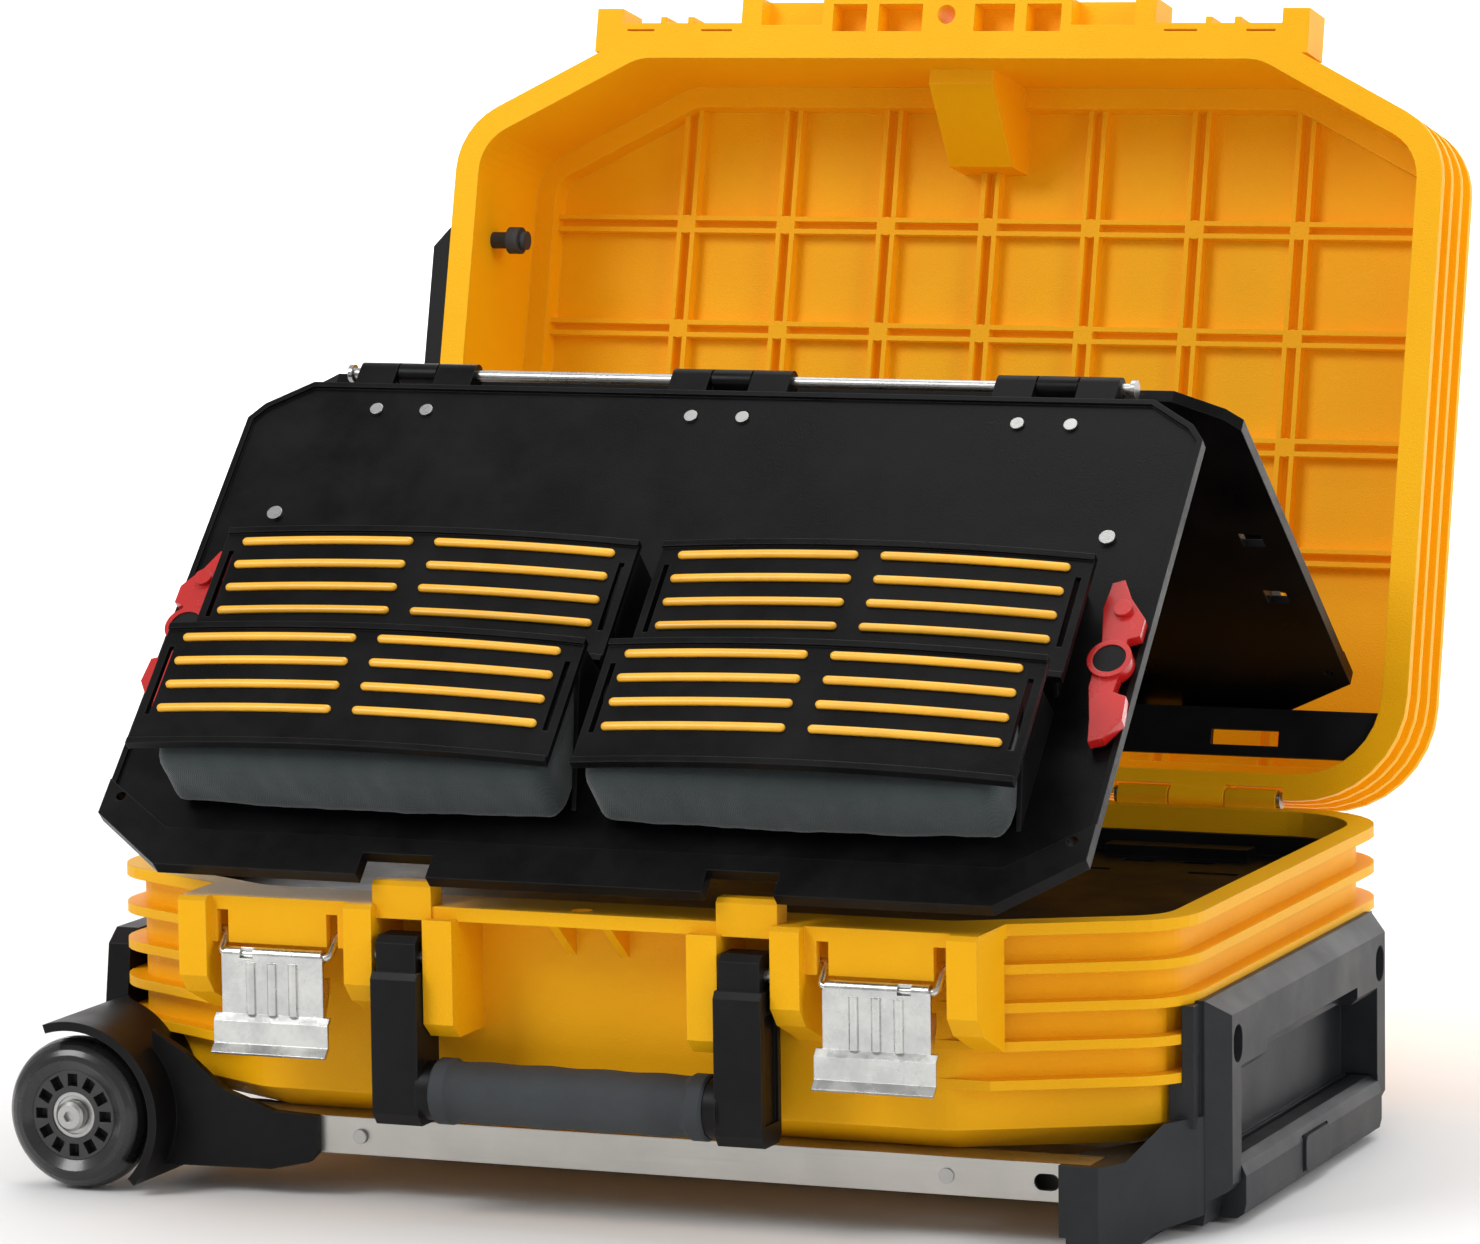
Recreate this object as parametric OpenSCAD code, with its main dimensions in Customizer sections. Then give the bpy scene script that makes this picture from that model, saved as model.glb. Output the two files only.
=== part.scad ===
// Wheeled hard tool case lying on its back: ribbed tub and hinged lid, two steel latches,
// carry handle, wheels, telescopic pull handle, and a folding organiser with tool pockets.

/* [Shell] */
// Length of the rim flange, left to right
rim_length = 492; // [480:1:510]
// Depth of the rim flange, front to back
rim_depth = 354; // [340:1:370]
// Height of the tub rim above the floor
rim_height = 133; // [128:1:140]
// Height of the underside of the tub above the floor
belly_height = 36; // [34:1:38]
// Height of the crease where the tub walls turn in
crease_height = 47; // [44:1:52]
// Thickness of the moulded walls
shell_wall = 4; // [3:0.5:5]
// How far the ribs stand out from the walls
rib_reach = 8; // [6:0.5:10]
// Thickness of one rib
rib_thickness = 4.2; // [3:0.1:5]
// Distance from one rib to the next
rib_pitch = 16; // [15:0.5:17]
// Depth of the lid from its rim to its top
lid_depth = 88; // [80:1:96]
// Angle that the lid is open
lid_open = 103.7; // [95:0.1:110]

/* [Plan outline] */
// Length of the front corner cut, along the front
chamfer_long = 88; // [75:1:95]
// Length of the front corner cut, along the side
chamfer_short = 46; // [38:1:52]
// Radius that eases the front corner cuts
front_round = 35; // [25:1:36]
// Radius of the rear corners
rear_round = 50; // [46:1:60]

/* [Front fittings] */
// Distance of each latch from the middle
latch_x = 136; // [130:1:140]
// Width of the latch lever
latch_width = 53; // [48:1:54]
// Thickness of the latch sheet
latch_sheet = 1.4; // [1.2:0.1:2]
// Diameter of the latch wire
wire_d = 3.2; // [2.8:0.1:3.4]
// Distance of each handle arm from the middle
arm_x = 77.2; // [74:0.2:79]
// Width of each handle arm
arm_width = 21; // [18:0.5:22]
// Thickness of each handle arm, front to back
arm_depth = 22; // [18:0.5:23]
// Diameter of the soft hand grip
grip_d = 28; // [24:0.5:30]
// Diameter of the handle's pivot pins
handle_pin_d = 6; // [5:0.5:7]

/* [Wheels] */
// Diameter of each wheel
wheel_d = 66; // [62:1:68]
// Width of each wheel
wheel_width = 24; // [20:1:26]
// Distance of the wheel axles left of the middle
wheel_x = 237.5; // [235:0.5:242]
// Diameter of each hub
hub_d = 39; // [36:0.5:42]
// Outer diameter of each ball bearing
bearing_d = 20; // [18:0.5:24]
// Diameter of each axle
axle_d = 8; // [6:0.5:8]

/* [Chassis and pull handle] */
// Height of the aluminium rails
rail_height = 16; // [14:1:16]
// Width of the aluminium rails
rail_width = 20; // [19:1:22]
// Wall of the rails and tubes
tube_wall = 1.5; // [1:0.1:2]
// Distance between the two telescopic tubes
tube_spacing = 150; // [130:1:160]
// Width of the outer telescopic tubes
guide_width = 20; // [18:1:24]
// Width of the pull handle's grip
pull_width = 196; // [180:1:200]
// Height of the pull handle's grip
pull_height = 25; // [22:1:26]
// Thickness of the housing beyond the rim
housing_reach = 12; // [11:0.5:16]

/* [Organiser] */
// Length of the front panel from its foot to the top hinge
front_length = 275; // [268:1:278]
// Length of the rear panel from the top hinge to its foot
rear_length = 262; // [258:1:263]
// Width of the panel that shows beyond the pocket plates on each side
panel_margin = 24; // [20:1:28]
// Thickness of the panels
panel_sheet = 4; // [3:0.5:5]
// Lean of the front panel from upright
front_lean = 44.2; // [43:0.1:46]
// Lean of the rear panel from upright
rear_lean = 51; // [50:0.1:53]
// Diameter of the top hinge pin
hinge_pin_d = 5; // [4:0.5:6]
// Width of one pocket plate
plate_width = 193; // [185:1:194]
// Height of one pocket plate
plate_height = 64; // [58:1:66]
// Distance of the lower pocket plates from the panel
plate_out = 36; // [30:1:38]
// Distance of the upper pocket plates from the panel
upper_out = 18; // [14:1:20]
// Height of one grip strip
strip_height = 4; // [3:0.5:5]
// Distance from one grip strip to the next
strip_pitch = 12.5; // [11:0.5:13]
// Height of the clips on the panel's edges
clip_height = 66; // [60:1:70]

/* [Hidden] */

yellow = [0.98, 0.66, 0.02];
black = [0.09, 0.09, 0.1];
charcoal = [0.27, 0.3, 0.33];
steel = [0.78, 0.8, 0.8];
slack = 0.3;
running = 0.05;

half_x = rim_length / 2;
front_y = -166;
rear_y = front_y + rim_depth;
hinge_y = rear_y;
hinge_z = rim_height + 3;
seam = 0.6;
chamfer_angle = atan(chamfer_short / chamfer_long);
// Middle of the whole object, front to back, which is where its origin lies
mid_x = -4.6;
mid_y = 74.4;

// Puts the origin under the middle of the whole object
module place() { translate([-mid_x, -mid_y, 0]) children(); }

// Swings what is drawn for the closed lid to its open place
module on_lid() {
    place() translate([0, hinge_y, hinge_z]) rotate([-lid_open, 0, 0])
        translate([0, -hinge_y, -hinge_z]) children();
}

function arc(cx, cy, r, from, to, steps = 8) =
    [for (i = [0 : steps]) let (a = from + (to - from) * i / steps) [cx + r * cos(a), cy + r * sin(a)]];

function mirrored(points) = [for (i = [len(points) - 1 : -1 : 0]) [-points[i].x, points[i].y]];

// Plan of the case, drawn inset from the edge of the rim
function right_half(inset) = concat(
    arc(half_x - chamfer_long - front_round * tan(chamfer_angle / 2), front_y + front_round,
        front_round - inset, 270, 270 + chamfer_angle, 3),
    arc(half_x - front_round, front_y + chamfer_short + front_round * tan(45 - chamfer_angle / 2),
        front_round - inset, 270 + chamfer_angle, 360, 6),
    arc(half_x - rear_round, rear_y - rear_round, rear_round - inset, 0, 90, 8));

module plan(inset) { polygon(concat(right_half(inset), mirrored(right_half(inset)))); }

module slab(inset, z, height) { translate([0, 0, z]) linear_extrude(height) plan(inset); }

module ring(inset, width, z, height) {
    translate([0, 0, z]) linear_extrude(height) difference() {
        plan(inset);
        plan(inset + width);
    }
}

module block(x0, x1, y0, y1, z0, z1) { translate([x0, y0, z0]) cube([x1 - x0, y1 - y0, z1 - z0]); }

// A profile in the YZ plane, drawn out from x0 to x1
module across(x0, x1, points) {
    translate([x0, 0, 0]) rotate([90, 0, 90]) linear_extrude(x1 - x0) polygon(points);
}

module both_sides() {
    children();
    mirror([1, 0, 0]) children();
}

module rod_x(x0, x1, y, z, d) { translate([x0, y, z]) rotate([0, 90, 0]) cylinder(d = d, h = x1 - x0, $fn = 32); }

module rod_y(x, y0, y1, z, d) { translate([x, y0, z]) rotate([-90, 0, 0]) cylinder(d = d, h = y1 - y0, $fn = 48); }

// ---- Front fittings, shared places -------------------------------------------------

shelf_y = -184;
shelf_z = rim_height - 6;
keeper_z = 113;
post_front = -190;
guard_inner = latch_x - 33.4;
guard_outer = latch_x + 30.5;
guard_width = 13;
// Bevel on the guards that the folded organiser passes over
guard_bevel = 2;
slot_reach = 25.5;
bail_pivot_y = -178;
bail_pivot_z = 118;
bail_y = -187;
bail_z = 109;
arm_front = -196;
arm_top = 121;
arm_bottom = 41;
arm_y = arm_front + arm_depth / 2;
handle_z = 112;
grip_z = 55.3;
block_width = 13.5;
block_outer = arm_x - arm_width / 2 - slack * 1.5;
hook_height = 10;
ribless_x = latch_x + 42;
// Foot and top hinge of the organiser's front panel
foot_y = -190;
foot_z = rim_height + hook_height - 1.5;
pin_y = foot_y + front_length * sin(front_lean);
pin_z = foot_z + front_length * cos(front_lean);

module front_guard(x) {
    across(x, x + guard_width, [[front_y + rib_reach + 1, rim_height], [post_front + guard_bevel, rim_height],
        [post_front, rim_height - guard_bevel], [post_front, 99], [post_front + 7, 91], [front_y + rib_reach + 1, 80]]);
}

module keeper() {
    x0 = guard_inner - 1;
    x1 = guard_outer + 1;
    difference() {
        block(x0, x1, shelf_y, shelf_y + 4, keeper_z, rim_height);
        for (side = [-1, 1])
            block(latch_x + side * slot_reach - 2.6, latch_x + side * slot_reach + 2.6,
                shelf_y - 1, shelf_y + 5, keeper_z - 1, rim_height - 5);
    }
}

module handle_block() {
    y0 = -190;
    difference() {
        across(block_outer - block_width, block_outer, [[front_y + rib_reach + 1, shelf_z + 1], [y0, shelf_z + 1],
            [y0, 84], [y0 + 7, 78], [front_y + rib_reach + 1, 78]]);
        rod_x(block_outer - 8, block_outer + 1, arm_y, handle_z, handle_pin_d + 2 * running);
    }
}

module hook_block() {
    across(arm_x - 13, arm_x + 14, [[shelf_y - 1, shelf_z], [shelf_y + 10, shelf_z],
        [shelf_y + 10, rim_height + hook_height - 2], [shelf_y + 8, rim_height + hook_height],
        [shelf_y + 1, rim_height + hook_height], [shelf_y - 1, rim_height + hook_height - 2]]);
}

module gusset(x) {
    across(x - 2, x + 2, [[front_y + rib_reach, shelf_z + 1], [shelf_y + 4, shelf_z + 1],
        [front_y + rib_reach, shelf_z - 16]]);
}

module front_shelf() {
    translate([0, 0, shelf_z]) linear_extrude(rim_height - shelf_z)
        polygon([[-guard_outer - guard_width, front_y + 14], [-guard_outer - guard_width, shelf_y + 2],
            [-guard_outer - guard_width + 2, shelf_y], [guard_outer + guard_width - 2, shelf_y],
            [guard_outer + guard_width, shelf_y + 2], [guard_outer + guard_width, front_y + 14]]);
}

hinge_x = 150;
knuckle_d = 10;
knuckle_half = 13;
knuckle_length = 24;
knuckle_gap = 0.8;
pin_head = 1.8;

module barrel(x0, x1) {
    difference() {
        children();
        rod_x(x0 - 1, x1 + 1, hinge_y, hinge_z, hinge_pin_d + 2 * running);
    }
}

// Knuckles of the tub, on both sides of each lid knuckle
module tub_knuckles() {
    for (side = [-1, 1]) translate([side * (knuckle_half + knuckle_gap + knuckle_length / 2), 0, 0])
        barrel(-knuckle_length / 2, knuckle_length / 2) union() {
            rod_x(-knuckle_length / 2, knuckle_length / 2, hinge_y, hinge_z, knuckle_d);
            block(-knuckle_length / 2, knuckle_length / 2, hinge_y - knuckle_d / 2, hinge_y + knuckle_d / 2,
                rim_height - 14, hinge_z);
            block(-knuckle_length / 2, knuckle_length / 2, rear_y - rib_reach - 1, hinge_y, rim_height - 14,
                rim_height - 8);
        }
}

module lid_knuckle() {
    barrel(-knuckle_half, knuckle_half) union() {
        rod_x(-knuckle_half, knuckle_half, hinge_y, hinge_z, knuckle_d);
        block(-knuckle_half, knuckle_half, hinge_y - knuckle_d / 2, hinge_y + knuckle_d / 2, hinge_z, hinge_z + 14);
        block(-knuckle_half, knuckle_half, rear_y - rib_reach - 1, hinge_y, hinge_z + 6, hinge_z + 14);
    }
}

module at_hinges() {
    for (side = [-1, 1]) translate([side * hinge_x, 0, 0]) children();
}

// ---- Tub ----------------------------------------------------------------------------

bevel_in = 14;
belly_in = 26;

module tub_shell() {
    slab(rib_reach, crease_height, rim_height - crease_height);
    hull() {
        slab(rib_reach, crease_height - 0.5, 1);
        slab(belly_in, belly_height, 1);
    }
}

module rib_levels() {
    for (k = [1 : 4]) translate([0, 0, -k * rib_pitch]) children();
}

module tub_ribs() {
    ring(0, rib_reach + 1, rim_height - 5, 5);
    difference() {
        rib_levels() ring(0, rib_reach + 1, rim_height - 5, rib_thickness);
        block(-ribless_x, ribless_x, front_y - 1, front_y + rib_reach, 0, rim_height - 5);
    }
}

module tub() {
    color(yellow) place() difference() {
        union() {
            tub_shell();
            tub_ribs();
            front_shelf();
            both_sides() {
                front_guard(guard_inner - guard_width);
                front_guard(guard_outer);
                keeper();
                handle_block();
                hook_block();
                gusset(12);
            }
            at_hinges() tub_knuckles();
            guide_saddles();
        }
        slab(rib_reach + shell_wall, belly_height + shell_wall + 10, rim_height);
        slab(belly_in + shell_wall, belly_height + shell_wall, 20);
        at_hinges() block(-knuckle_half - knuckle_gap, knuckle_half + knuckle_gap,
            hinge_y - knuckle_d / 2 - knuckle_gap, hinge_y + knuckle_d, hinge_z - knuckle_d / 2 - knuckle_gap,
            rim_height + 1);
        at_hinges() for (side = [-1, 1]) rod_x(side * (knuckle_half + knuckle_gap + knuckle_length + pin_head) - 2.2,
            side * (knuckle_half + knuckle_gap + knuckle_length + pin_head) + 2.2, hinge_y, hinge_z,
            hinge_pin_d + 3 + 2 * slack);
        both_sides() rod_x(guard_inner - guard_width - 1, guard_inner - guard_width + 8, arm_y, handle_z,
            handle_pin_d + 2 * running);
        both_sides() for (side = [-1, 1]) rod_x(latch_x + side * (slot_reach + 8) - 8,
            latch_x + side * (slot_reach + 8) + 8, bail_pivot_y, bail_pivot_z, wire_d + 0.2);
        translate([0, shelf_y + 9, shelf_z - 1]) cylinder(d = 9, h = 20, $fn = 32);
    }
}

// ---- Lid, drawn closed --------------------------------------------------------------

lid_z = rim_height + seam;
lid_top = lid_z + lid_depth;
grid_pitch = 52;
grid_rib = 2.4;
grid_deep = 7;
catch_y = -183;

module lid_shell() {
    slab(rib_reach, lid_z, lid_depth - 16);
    hull() {
        slab(rib_reach, lid_top - 17, 1);
        slab(belly_in - 8, lid_top - 1, 1);
    }
}

module lid_ribs() {
    ring(0, rib_reach + 1, lid_z, 5);
    for (k = [1 : 3]) ring(0, rib_reach + 1, lid_z + k * rib_pitch, rib_thickness);
}

// Double ribs that stiffen the inside of the lid's top
module lid_grid() {
    z0 = lid_top - shell_wall - grid_deep;
    intersection() {
        slab(rib_reach + shell_wall - 1, z0, grid_deep + 2);
        union() {
            for (column = [-3 : 3], side = [-1, 1])
                block(column * grid_pitch + side * 3.5 - grid_rib / 2, column * grid_pitch + side * 3.5 + grid_rib / 2,
                    front_y, rear_y, z0, z0 + grid_deep + 2);
            for (row = [0 : 3], side = [-1, 1])
                block(-half_x, half_x, row_y(row) + side * 3 - grid_rib / 2, row_y(row) + side * 3 + grid_rib / 2,
                    z0, z0 + grid_deep + 2);
        }
    }
    for (column = [-3 : 3], row = [0 : 3])
        translate([column * grid_pitch, row_y(row), z0]) cylinder(d = 9, h = grid_deep + 2, $fn = 24);
}

function row_y(row) = hinge_y - 121 - row * 51.5;

module lid_catch() {
    z1 = lid_z + 24;
    difference() {
        union() {
            block(-103.5, 103.5, catch_y, front_y + rib_reach + 1, lid_z, z1);
            both_sides() {
                block(103, 166, catch_y + 12, front_y + rib_reach + 1, lid_z, z1 - 6);
                block(165, 178, catch_y + 5, front_y + rib_reach + 1, lid_z, z1);
                block(128, 131, catch_y + 9, front_y, lid_z, z1 - 4);
                block(142, 145, catch_y + 9, front_y, lid_z, z1 - 4);
            }
        }
        // Pockets that the tub's two hook blocks go into
        both_sides() block(arm_x - 15, arm_x + 16, catch_y - 1, front_y - 4, lid_z - 1, rim_height + hook_height + 1);
        // Moulding pockets seen from below
        both_sides() {
            block(40, 57, catch_y + 3, front_y - 1, lid_z - 1, lid_z + 14);
            block(108, 124, catch_y + 15, front_y - 1, lid_z - 1, lid_z + 10);
            block(148, 162, catch_y + 15, front_y - 1, lid_z - 1, lid_z + 10);
        }
        block(-34, -12, catch_y + 3, front_y - 1, lid_z - 1, lid_z + 14);
        block(14, 34, catch_y + 3, front_y - 1, lid_z - 1, lid_z + 14);
        translate([0, shelf_y + 9, lid_z - 1]) cylinder(d = 9, h = 40, $fn = 32);
        both_sides() block(20, 60, catch_y - 1, catch_y + 2, lid_z + 10, z1 + 1);
    }
}

// Wedge that stiffens the middle of the lid's front wall
module centre_box() {
    y0 = front_y + rib_reach + 1;
    intersection() {
        lid_shell();
        across(-16, 16, [[y0, lid_z + 26], [y0 + 10, lid_z + 26], [y0 + 43, lid_top - 26],
            [y0 + 43, lid_top - shell_wall + 1], [y0, lid_top - shell_wall + 1]]);
    }
}

module lid() {
    color(yellow) on_lid() difference() {
        union() {
            difference() {
                union() {
                    lid_shell();
                    lid_ribs();
                    lid_catch();
                    at_hinges() lid_knuckle();
                }
                slab(rib_reach + shell_wall, lid_z - 1, lid_depth - 16);
                slab(belly_in - 8 + shell_wall, lid_z, lid_depth - shell_wall);
            }
            lid_grid();
            centre_box();
        }
        at_hinges() rod_x(-knuckle_half - 1, knuckle_half + 1, hinge_y, hinge_z, hinge_pin_d + 2 * running);
        at_hinges() for (side = [-1, 1]) scale([side, 1, 1])
            block(knuckle_half + 0.1, knuckle_half + knuckle_gap + knuckle_length + pin_head + knuckle_gap,
                hinge_y - knuckle_d / 2 - knuckle_gap, hinge_y + knuckle_d, lid_z - 1,
                hinge_z + knuckle_d / 2 + knuckle_gap);
    }
}

// ---- Inside the case ----------------------------------------------------------------

tray_drop = 20;
tray_sheet = 3;
tray_edge = 12;

module tray() {
    z0 = rim_height - tray_drop - tray_sheet;
    color(black) place() difference() {
        union() {
            slab(rib_reach + shell_wall + slack, z0, tray_sheet);
            ring(rib_reach + shell_wall + slack, 3, z0, tray_edge);
            for (x = [-150, 0, 150]) block(x - 34, x + 34, rear_y - 34, rear_y - 22, z0, z0 + 8);
        }
        for (x = [-150, 0, 150], side = [-1, 1])
            block(x + side * 14 - 8, x + side * 14 + 8, rear_y - 48, rear_y - 40, z0 - 1, z0 + 6);
        for (x = [-180 : 60 : 180]) block(x - 12, x + 12, rear_y - 75, rear_y - 70, z0 - 1, z0 + 6);
        both_sides() block(60, 110, front_y + 60, front_y + 72, z0 - 1, z0 + 6);
    }
}

module hinge_pins() {
    reach = knuckle_half + knuckle_gap + knuckle_length;
    color(steel) place() at_hinges() {
        rod_x(-reach, reach, hinge_y, hinge_z, hinge_pin_d);
        for (side = [-1, 1]) rod_x(side * (reach + pin_head / 2) - pin_head / 2,
            side * (reach + pin_head / 2) + pin_head / 2, hinge_y, hinge_z, hinge_pin_d + 3);
    }
}

module lid_bumper() {
    x = -half_x - slack;
    y0 = hinge_y - 0.74 * rim_depth;
    y1 = hinge_y - 0.367 * rim_depth;
    rib_step = (y1 - y0 - 20) / 3;
    color(black) on_lid() difference() {
        linear_extrude_from(lid_z + 8, lid_top - 18) polygon([[x, y0], [x - 4, y0 + 2], [x - 11.7, y0 + 11],
            [x - 11.7, y1 - 11], [x - 4, y1 - 2], [x, y1]]);
        for (i = [0 : 2]) block(x - 13, x - 9, y0 + 14 + i * rib_step, y0 + 6 + (i + 1) * rib_step,
            lid_z + 16, lid_top - 26);
    }
}

module linear_extrude_from(z0, z1) { translate([0, 0, z0]) linear_extrude(z1 - z0) children(); }

stopper_y = hinge_y - 0.726 * rim_depth;
stopper_z = lid_z + 24;

module lid_stopper() {
    x = -half_x + rib_reach + shell_wall;
    color(black) on_lid() {
        rod_x(x, x + 9, stopper_y, stopper_z, 8);
        rod_x(x + 8.9, x + 15, stopper_y, stopper_z, 13);
        rod_x(x + 14.9, x + 18, stopper_y, stopper_z, 9);
    }
}

module side_latch() {
    x = half_x - rib_reach - shell_wall;
    y0 = hinge_y - 215;
    color(black) on_lid() difference() {
        block(x - 5, x, y0, y0 + 54, lid_z + 22, lid_z + 36);
        block(x - 6, x - 2, y0 + 5, y0 + 49, lid_z + 26, lid_z + 32);
    }
}

// Rail across the lid that the rear panel's foot rests on
foot_rise = pin_z - rear_length * cos(rear_lean) - hinge_z;
foot_back = pin_y + rear_length * sin(rear_lean) - hinge_y;
bar_y = hinge_y + foot_back * cos(lid_open) - foot_rise * sin(lid_open) + 3.2;
bar_z = hinge_z + foot_back * sin(lid_open) + foot_rise * cos(lid_open) - 8.3;
bar_half = half_x - rib_reach - shell_wall - slack;

module foot_bar() {
    color(black) on_lid() difference() {
        intersection() {
            slab(rib_reach + shell_wall + slack, lid_z, lid_depth / 2);
            union() {
            across(-bar_half, bar_half, [[bar_y - 4, bar_z], [bar_y + 18, bar_z], [bar_y + 18, bar_z + 3.5],
                [bar_y, bar_z + 3.5], [bar_y, bar_z + 12], [bar_y - 4, bar_z + 12]]);
            both_sides() across(bar_half - 9, bar_half, [[bar_y - 4, bar_z], [bar_y + 18, bar_z],
                    [bar_y + 18, bar_z + 6], [bar_y, bar_z + 34], [bar_y - 4, bar_z + 34]]);
            }
        }
        for (x = [-170 : 85 : 170]) block(x - 16, x + 16, bar_y + 6, bar_y + 13, bar_z - 1, bar_z + 5);
        for (x = [-128 : 85 : 128]) block(x - 9, x + 9, bar_y - 5, bar_y + 1, bar_z + 6, bar_z + 13);
    }
}

// ---- Wheels -------------------------------------------------------------------------

wheel_z = wheel_d / 2;
axle_x = -wheel_x;
front_wheel_y = front_y - 3.5;
rear_wheel_y = rear_y + 20;
guard_gap = 4;
guard_sheet = 4;

// Turns what is drawn about +Z at the origin so that it lies on the front wheel's axle
module at_wheel(front) {
    y = front ? front_wheel_y : rear_wheel_y;
    place() translate([axle_x, y, wheel_z]) mirror([0, front ? 0 : 1, 0]) rotate([90, 0, 0]) children();
}

module tyre() {
    r = wheel_d / 2;
    w = wheel_width / 2;
    rotate_extrude($fn = 96) polygon(concat([[hub_d / 2 + slack / 3, -w + 2.5]],
        [for (i = [0 : 12]) let (a = -90 + i * 15) [r - 9 + 9 * cos(a), w * sin(a)]],
        [[hub_d / 2 + slack / 3, w - 2.5]]));
}

module tyre_front() { color(black) at_wheel(true) tyre(); }
module tyre_rear() { color(black) at_wheel(false) tyre(); }

module hub() {
    w = wheel_width / 2;
    difference() {
        cylinder(d = hub_d, h = 2 * w - 5, center = true, $fn = 96);
        cylinder(d = bearing_d + 2 * running, h = 3 * w, center = true, $fn = 64);
        for (i = [0 : 11]) rotate([0, 0, i * 30]) translate([(bearing_d + hub_d) / 4 + 0.5, 0, w])
            cube([5.5, 4.6, 2 * w - 8], center = true);
    }
}

module hub_front() { color([0.16, 0.16, 0.17]) at_wheel(true) hub(); }
module hub_rear() { color([0.16, 0.16, 0.17]) at_wheel(false) hub(); }

module bearings() {
    for (side = [-1, 1]) translate([0, 0, side * (wheel_width / 2 - 6)]) difference() {
        cylinder(d = bearing_d, h = 6, center = true, $fn = 64);
        cylinder(d = axle_d + 2 * running, h = 8, center = true, $fn = 48);
        difference() {
            translate([0, 0, side * 3]) cylinder(d = bearing_d - 3.4, h = 1.2, center = true, $fn = 64);
            cylinder(d = axle_d + 4, h = 8, center = true, $fn = 48);
        }
    }
}

module bearings_front() { color(steel) at_wheel(true) bearings(); }
module bearings_rear() { color(steel) at_wheel(false) bearings(); }

module axle() {
    w = wheel_width / 2;
    translate([0, 0, -w - 14]) cylinder(d = axle_d, h = 2 * w + 14, $fn = 48);
    difference() {
        union() {
            translate([0, 0, w - 2.4]) cylinder(d = axle_d + 5, h = 3.2, $fn = 48);
            translate([0, 0, w + 0.8]) cylinder(d1 = axle_d + 5, d2 = axle_d + 2.4, h = 1.2, $fn = 48);
        }
        translate([0, 0, w]) cylinder(d = 5, h = 4, $fn = 6);
    }
}

module axle_front() { color(steel) at_wheel(true) axle(); }
module axle_rear() { color(steel) at_wheel(false) axle(); }

guard_inner_r = wheel_d / 2 + guard_gap;
guard_outer_r = guard_inner_r + guard_sheet;
cheek_gap = 1;
cheek_depth = 14;

// A profile in the XZ plane, drawn out from y0 to y1
module along(y0, y1, points) {
    translate([0, y1, 0]) rotate([90, 0, 0]) linear_extrude(y1 - y0) polygon(points);
}

// Curved guard round the wheel, reaching back towards the case. +Z points outward.
module mudguard(back) {
    w = wheel_width / 2;
    translate([0, 0, -w - back]) linear_extrude(2 * w + back) difference() {
        circle(r = guard_outer_r, $fn = 96);
        circle(r = guard_inner_r, $fn = 96);
        polygon([[0, 0], [120 * cos(108), 120 * sin(108)], [-120, 60], [-120, -120],
            [120 * cos(-44), 120 * sin(-44)]]);
    }
}

// Cheek that holds the axle and joins the guard
module cheek(depth) {
    w = wheel_width / 2;
    difference() {
        translate([0, 0, -w - depth]) linear_extrude(depth - cheek_gap) union() {
            circle(r = 15, $fn = 64);
            polygon([[0, -15], [guard_inner_r + 2, -17], [guard_inner_r + 2, 22], [0, 22]]);
        }
        translate([0, 0, -w - depth - 1]) cylinder(d = axle_d + 2 * running, h = depth + 2, $fn = 48);
    }
}

// Everything that the tub takes up, with a little room round it
module tub_space() {
    slab(-slack, rim_height - 5 - 4 * rib_pitch - slack, 90);
    slab(rib_reach - slack, crease_height - 0.5, 60);
    hull() {
        slab(rib_reach - slack, crease_height - 1, 1);
        slab(belly_in - slack, belly_height - slack, 1);
    }
}

rail_z = belly_height - slack - rail_height;
rail_y = front_y + 8;
rail_left = 51 - half_x;
rail_right = half_x - 30;
sleeve_wall = 4;
sleeve_end = -130;

// Both rails lie the same way from the middle of the case
module each_rail(front) {
    translate([0, front ? 0 : front_y + rear_y, 0]) mirror([0, front ? 0 : 1, 0]) children();
}

// Feet under the belly that carry the telescopic tubes
module guide_saddles() {
    for (x = [-half_x / 2, half_x / 4], side = [-1, 1])
        block(x - 12, x + 12, mid_case_y + side * tube_spacing / 2 - guide_width / 2,
            mid_case_y + side * tube_spacing / 2 + guide_width / 2, guide_z + guide_height + slack, belly_height + 1);
}

// Channel that holds the rail's left end
module rail_sleeve() {
    z0 = rail_z - slack - sleeve_wall;
    difference() {
        along(rail_y - slack - sleeve_wall, rail_y + rail_width + slack + sleeve_wall, [[rail_left - 8, z0 + 4],
            [rail_left - 4, z0], [sleeve_end - 12, z0], [sleeve_end - 4, z0 + 4], [sleeve_end, z0 + 12],
            [sleeve_end, belly_height], [rail_left - 8, belly_height]]);
        block(rail_left - 1, sleeve_end + 10, rail_y - slack, rail_y + rail_width + slack, rail_z - slack,
            belly_height + 1);
    }
}

// Web that fills the corner between the guard and the belly
module bracket_web(front, y) {
    difference() {
        each_rail(front) along(rail_y - slack - sleeve_wall, rail_y - slack, [[axle_x + 30, rail_z - 9],
            [sleeve_end - 22, rail_z - 8], [sleeve_end - 4, rail_z - 4], [sleeve_end, rail_z], [sleeve_end, belly_height],
            [sleeve_end - 20, belly_height + 1], [sleeve_end - 44, crease_height - 2], [sleeve_end - 62, crease_height + 13],
            [axle_x + 30, crease_height + 22]]);
        translate([axle_x, y, wheel_z]) rotate([90, 0, 0])
            cylinder(r = guard_inner_r + 0.4, h = 4 * wheel_width, center = true, $fn = 96);
    }
}

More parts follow.
